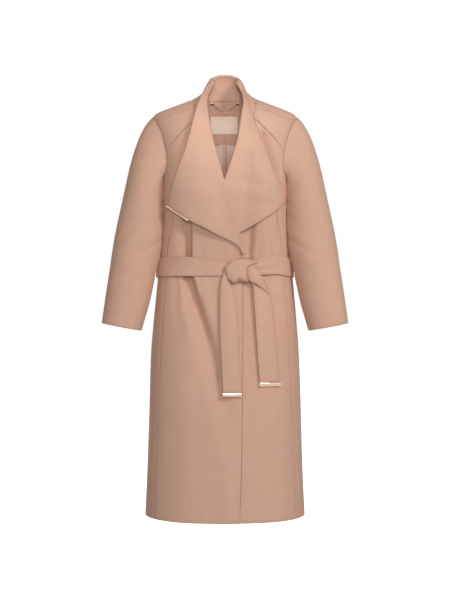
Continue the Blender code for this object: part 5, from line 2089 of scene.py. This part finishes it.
@dataclass
class NeckInside:
    """What shows inside the back of the neck: facing, lining, blank label, tabs and hanger chain."""

    tailor: Tailor
    pattern: CoatPattern
    lining: LiningFinish = field(default_factory=LiningFinish)
    label: LabelFinish = field(default_factory=LabelFinish)
    gap: float = 0.6
    wall: float = 1.2
    facing_rows: int = 2
    columns: int = 3
    lining_spacing: tuple[float, float] = (5.0, 2.6)
    lining_stand_off: float = 1.6
    # The pleat opens from this height down
    pleat_top: float = -104.0
    pleat_run: float = 120.0
    label_cloth: float = 0.8
    label_left: float = -41.0
    label_top: float = -27.0
    label_width: float = 77.0
    label_height: float = 48.0
    label_stand_off: float = 1.4
    label_puff: float = 0.9
    label_turn: float = 0.5
    tab_spread: float = 37.0
    tab_height: float = 5.0
    tab_half_length: float = 5.0
    tab_half_width: float = 2.6
    # A tab's section, from the facing out: share of its size, stand-off
    tab_profile: Table = (
        (0.2, 2.3), (0.86, 2.3), (1.0, 2.7), (1.0, 3.3), (0.86, 3.8), (0.5, 4.0), (0.2, 4.0),
    )
    chain_sag: float = 17.0
    chain_inset: float = 5.2
    chain_stand_off: float = 3.5
    link_pitch: float = 2.3
    link_half_length: float = 1.75
    link_half_width: float = 1.05
    link_wire: float = 0.36

    def build(self) -> None:
        """Builds every piece inside the neck."""
        self._facing()
        self._lining()
        self._label()
        self._hanger()

    def inside(self, x: Array, height: Array, stand_off: Array | float) -> Array:
        """Points in front of the facing, at a distance from it.

        Args:
            x: Their x.
            height: Their height.
            stand_off: Their distance from the facing.

        Returns:
            Points in millimetres.
        """
        form = self.pattern.form
        grid = np.stack([form.girth(x, height, back=True) % 360.0, height], axis=-1)
        return form.lifted(grid, -(CLOTH + self.gap + self.wall + stand_off))

    def _facing(self) -> None:
        """Both halves of the back neck facing."""
        form = self.pattern.form
        for side in Side:
            detail = self.pattern.detail
            first = self.pattern.armhole_row + self.facing_rows * detail
            grid = self.pattern.back_grid(side)[first:, : self.columns * detail + 1]
            face = form.lifted(grid, -(CLOTH + self.gap + self.wall / 2))
            normal = -form.normal(grid)
            node = f"back_neck_facing_{side.word}"
            self.tailor.cloth(node, face, normal, Hold.HUNG, ["collar_cloth"], self.wall)

    def _lining(self) -> None:
        """The back lining with a pleat down its centre."""
        form, pattern = self.pattern.form, self.pattern
        detail = pattern.detail
        first = pattern.levels.index(pattern.side_corner) * detail
        last = pattern.armhole_row + self.facing_rows * detail
        coarse = pattern.inner_back_grid(first, last, self.columns * detail)
        grid = form.filled(coarse, self.lining_spacing)
        points = form.point(grid)
        x, height = points[..., 0], points[..., 2]
        open_share = smooth_step((self.pleat_top - height) / self.pleat_run)
        trough = np.exp(-(((x + 1.0) / 3.2) ** 2)) * (1.0 + 2.6 * open_share)
        crest = np.exp(-(((x - 6.0) / 5.0) ** 2)) * (0.6 + 1.2 * open_share)
        ripple = 0.5 * np.sin(x / 7.0) * np.sin(height / 31.0 + 0.7)
        least = CLOTH + self.gap + self.wall / 2
        stand_off = least + self.lining_stand_off + crest - trough + ripple
        face = form.lifted(grid, -np.maximum(stand_off, least))
        normal = turned_out(grid_normals(face), -form.normal(grid))
        carriers = ["back_neck_facing_right_cloth"]
        self.tailor.cloth("back_lining", face, normal, Hold.HUNG, carriers, self.wall, finish=self.lining)

    def _label(self) -> None:
        """A blank label with turned ends."""
        u, v = np.linspace(0, 1, 40)[None, :], np.linspace(0, 1, 26)[:, None]
        x = self.label_left + self.label_width * u
        z = self.label_top - self.label_height * (1 - v)
        x, z = np.broadcast_arrays(x, z)
        ends = np.minimum(u, 1 - u) * self.label_width
        turned = self.label_turn * smooth_step((4.0 - ends) / 1.2)
        puff = self.label_puff * (np.sin(math.pi * u) * np.sin(math.pi * v)) ** 0.6
        middle = self.inside(x, z, self.label_stand_off + turned + puff)
        normal = turned_out(grid_normals(middle), FRONT)
        carriers = ["back_neck_facing_right_cloth"]
        self.tailor.cloth(
            "blank_label", middle, normal, Hold.HUNG, carriers, self.label_cloth, finish=self.label
        )

    def _hanger(self) -> None:
        """Two metal tabs and the chain between them."""
        metal = self.tailor.metal
        for side in Side:
            node = f"hanger_tab_{side.word}"
            self.tailor.solid(node + "_metal", self._tab(side), node, metal)
        self.tailor.solid("hanger_chain_links", self._chain(), "hanger_chain", metal)

    def _tab(self, side: Side) -> Skin:
        """A tab with rounded corners and a soft edge.

        Args:
            side: Its side.

        Returns:
            The points and the faces.
        """
        turn = np.linspace(0, 2 * math.pi, 32, endpoint=False)
        across, up = (np.sign(wave) * np.abs(wave) ** 0.7 for wave in (np.cos(turn), np.sin(turn)))
        rings = []
        for scale, stand_off in self.tab_profile:
            x = side.value * self.tab_spread + scale * self.tab_half_length * across
            z = self.tab_height + scale * self.tab_half_width * up
            rings.append(self.inside(x, z, stand_off))
        return lofted(rings)

    def _chain(self) -> Skin:
        """The chain, link by link, each turned a quarter from the one before.

        Returns:
            The points and the faces.
        """
        t = np.linspace(-1, 1, 400)
        x = t * (self.tab_spread - self.chain_inset)
        z = self.tab_height - self.chain_sag * (1 - t**2)
        line = self.inside(x, z, self.chain_stand_off)
        reach = run_lengths(line)
        margin = self.link_pitch / 2 + 0.05
        places = np.linspace(margin, reach[-1] - margin, int(reach[-1] / self.link_pitch))
        turn = np.linspace(0, 2 * math.pi, 14, endpoint=False)[:, None]
        links = []
        for number, place in enumerate(places):
            behind, centre, ahead = (
                np.array([np.interp(at, reach, line[:, k]) for k in range(3)])
                for at in (place - 0.5, place, place + 0.5)
            )
            along = unit(ahead - behind)
            flat = unit(np.cross(along, FRONT))
            if number % 2:
                flat = unit(np.cross(along, flat))
            long_way = self.link_half_length * np.cos(turn) * along
            loop = centre + long_way + self.link_half_width * np.sin(turn) * flat
            links.append(tube(loop, self.link_wire, 6, closed=True))
        return joined(links)


@dataclass
class BeltLoops:
    """Thread loops that hold the band at the sides."""

    tailor: Tailor
    pattern: CoatPattern
    angle: float = 76.0
    half_length: float = 31.0
    # Distance from the form where it is sewn down, and how much further it stands over the band
    sewn_lift: float = 1.1
    band_lift: float = 4.6
    strand_radius: float = 0.55
    twists: float = 9.0
    steps: int = 90

    def build(self) -> None:
        """Builds both loops."""
        for side in Side:
            node = f"belt_loop_{side.word}"
            self.tailor.solid(node + "_thread", self._loop(side), node, self.tailor.wool)

    def _loop(self, side: Side) -> Skin:
        """A loop of two twisted strands.

        Args:
            side: Its side.

        Returns:
            The points and the faces.
        """
        form = self.pattern.form
        t = np.linspace(-1, 1, self.steps)
        grid = np.stack([np.full(t.shape, side.value * self.angle), WAIST + t * self.half_length], axis=-1)
        lift = self.band_lift * smooth_step((1 - np.abs(t)) / 0.16) + self.sewn_lift
        line = form.lifted(grid, lift)
        along = unit(np.gradient(line, axis=0))
        first = unit(np.cross(along, form.normal(grid)))
        second = np.cross(first, along)
        strands = []
        for phase in (0.0, math.pi):
            turn = (math.pi * self.twists * (t + 1) + phase)[:, None]
            strand = line + self.strand_radius * (first * np.cos(turn) + second * np.sin(turn))
            strands.append(tube(strand, self.strand_radius, 7))
        return joined(strands)


@dataclass
class Studio:
    """A pale floor, soft light and the camera at the photograph's angle."""

    camera_place: Place = (0.0, -2.95, -0.5373)
    frame_height: float = 1.62
    floor_level: float = -1.40
    floor_size: float = 24.0
    sky: float = 0.27
    shine: float = 0.7
    light_size: float = 0.8
    key_place: Place = (1.85, -2.5, 1.1)
    key_power: float = 43.0
    front_place: Place = (0.1, -3.3, -0.1)
    front_power: float = 37.0
    back_place: Place = (-1.4, 3.0, 0.3)
    back_power: float = 34.0
    neck_place: Place = (0.0, -2.7, -0.07)
    neck_power: float = 120.0
    neck_size: float = 0.15
    neck_cone: float = 8.0
    # What the soft lights face: the coat's middle
    aim: Place = (0.0, 0.0, -0.5)

    def build(self) -> None:
        """Builds the camera, the floor and the lights."""
        self._camera()
        self._floor()
        self._sky()
        self._area("key_light", self.key_place, self.key_power)
        self._area("front_light", self.front_place, self.front_power)
        self._area("back_light", self.back_place, self.back_power)
        self._neck_light()
        bpy.context.scene.view_settings.view_transform = "Standard"
        log.info("studio: camera, floor and lights")

    def _camera(self) -> None:
        """The camera, square to the coat's front."""
        camera = bpy.data.cameras.new("camera")
        distance = -self.camera_place[1]
        camera.sensor_fit = "VERTICAL"
        camera.sensor_height = 36.0
        camera.sensor_width = 36.0 * IMAGE_WIDTH / IMAGE_HEIGHT
        camera.lens = camera.sensor_height * distance / self.frame_height
        bpy.context.scene.camera = self._stand(camera, self.camera_place, (math.pi / 2, 0.0, 0.0))

    @staticmethod
    def _stand(data: bpy.types.ID, place: Place, turn: Place) -> bpy.types.Object:
        """Puts a camera or a light in the scene.

        Args:
            data: The camera or light.
            place: Where it stands.
            turn: Its angles.

        Returns:
            The new object.
        """
        made = bpy.data.objects.new(data.name, data)
        made.location = place
        made.rotation_euler = turn
        bpy.context.scene.collection.objects.link(made)
        return made

    def _floor(self) -> None:
        """A wide pale floor, which lights nothing."""
        half, level = self.floor_size / 2, self.floor_level
        corners = [(-half, -half, level), (half, -half, level), (half, half, level), (-half, half, level)]
        mesh = bpy.data.meshes.new("studio_floor")
        mesh.from_pydata(corners, [], [(0, 1, 2, 3)])
        mesh.materials.append(FloorFinish().material())
        made = bpy.data.objects.new("studio_floor", mesh)
        made.visible_diffuse = False
        made.visible_glossy = False
        bpy.context.scene.collection.objects.link(made)

    def _sky(self) -> None:
        """An even white surround, dimmer as a light than as a backdrop."""
        world = bpy.data.worlds.new("studio_sky")
        shader = Shader(world)
        rays = shader.node("ShaderNodeLightPath", {}, {})
        seen, gloss = (Value(shader, rays.outputs[name]) for name in ("Is Camera Ray", "Is Glossy Ray"))
        share = shader.value("ShaderNodeMath", {"operation": "MAXIMUM"}, {0: seen, 1: gloss * self.shine})
        inputs = {"Value": share, "To Min": self.sky, "To Max": 1.0}
        strength = shader.value("ShaderNodeMapRange", {}, inputs, "Result")
        shader.feed(shader.tree.nodes["Background"], {"Color": (1.0, 1.0, 1.0, 1.0), "Strength": strength})
        bpy.context.scene.world = world

    def _neck_light(self) -> None:
        """A soft narrow light straight into the neck."""
        light = bpy.data.lights.new("neck_light", "SPOT")
        light.energy = self.neck_power
        light.shadow_soft_size = self.neck_size
        light.spot_size = math.radians(self.neck_cone)
        light.spot_blend = 1.0
        self._stand(light, self.neck_place, (math.pi / 2, 0.0, 0.0))

    def _area(self, name: str, place: Place, power: float) -> None:
        """A square soft light that faces the coat's middle.

        Args:
            name: Its name.
            place: Where it stands.
            power: Its power in watts.
        """
        light = bpy.data.lights.new(name, "AREA")
        light.size = self.light_size
        light.energy = power
        x, y, z = (aim - at for aim, at in zip(self.aim, place))
        self._stand(light, place, (math.pi / 2 + math.atan2(z, math.hypot(x, y)), 0.0, math.atan2(-x, y)))


def main() -> None:
    """Builds the coat piece by piece and the studio round it, and logs its sizes."""
    logging.basicConfig(level=logging.INFO, format="%(message)s")
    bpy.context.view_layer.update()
    tailor, pattern = Tailor(), CoatPattern()
    Studio().build()
    for assembly in (CoatBody, Collar, Lapels, Sleeves, Belt, BeltLoops, MetalTrim, NeckInside):
        assembly(tailor, pattern).build()


if __name__ == "__main__":
    main()
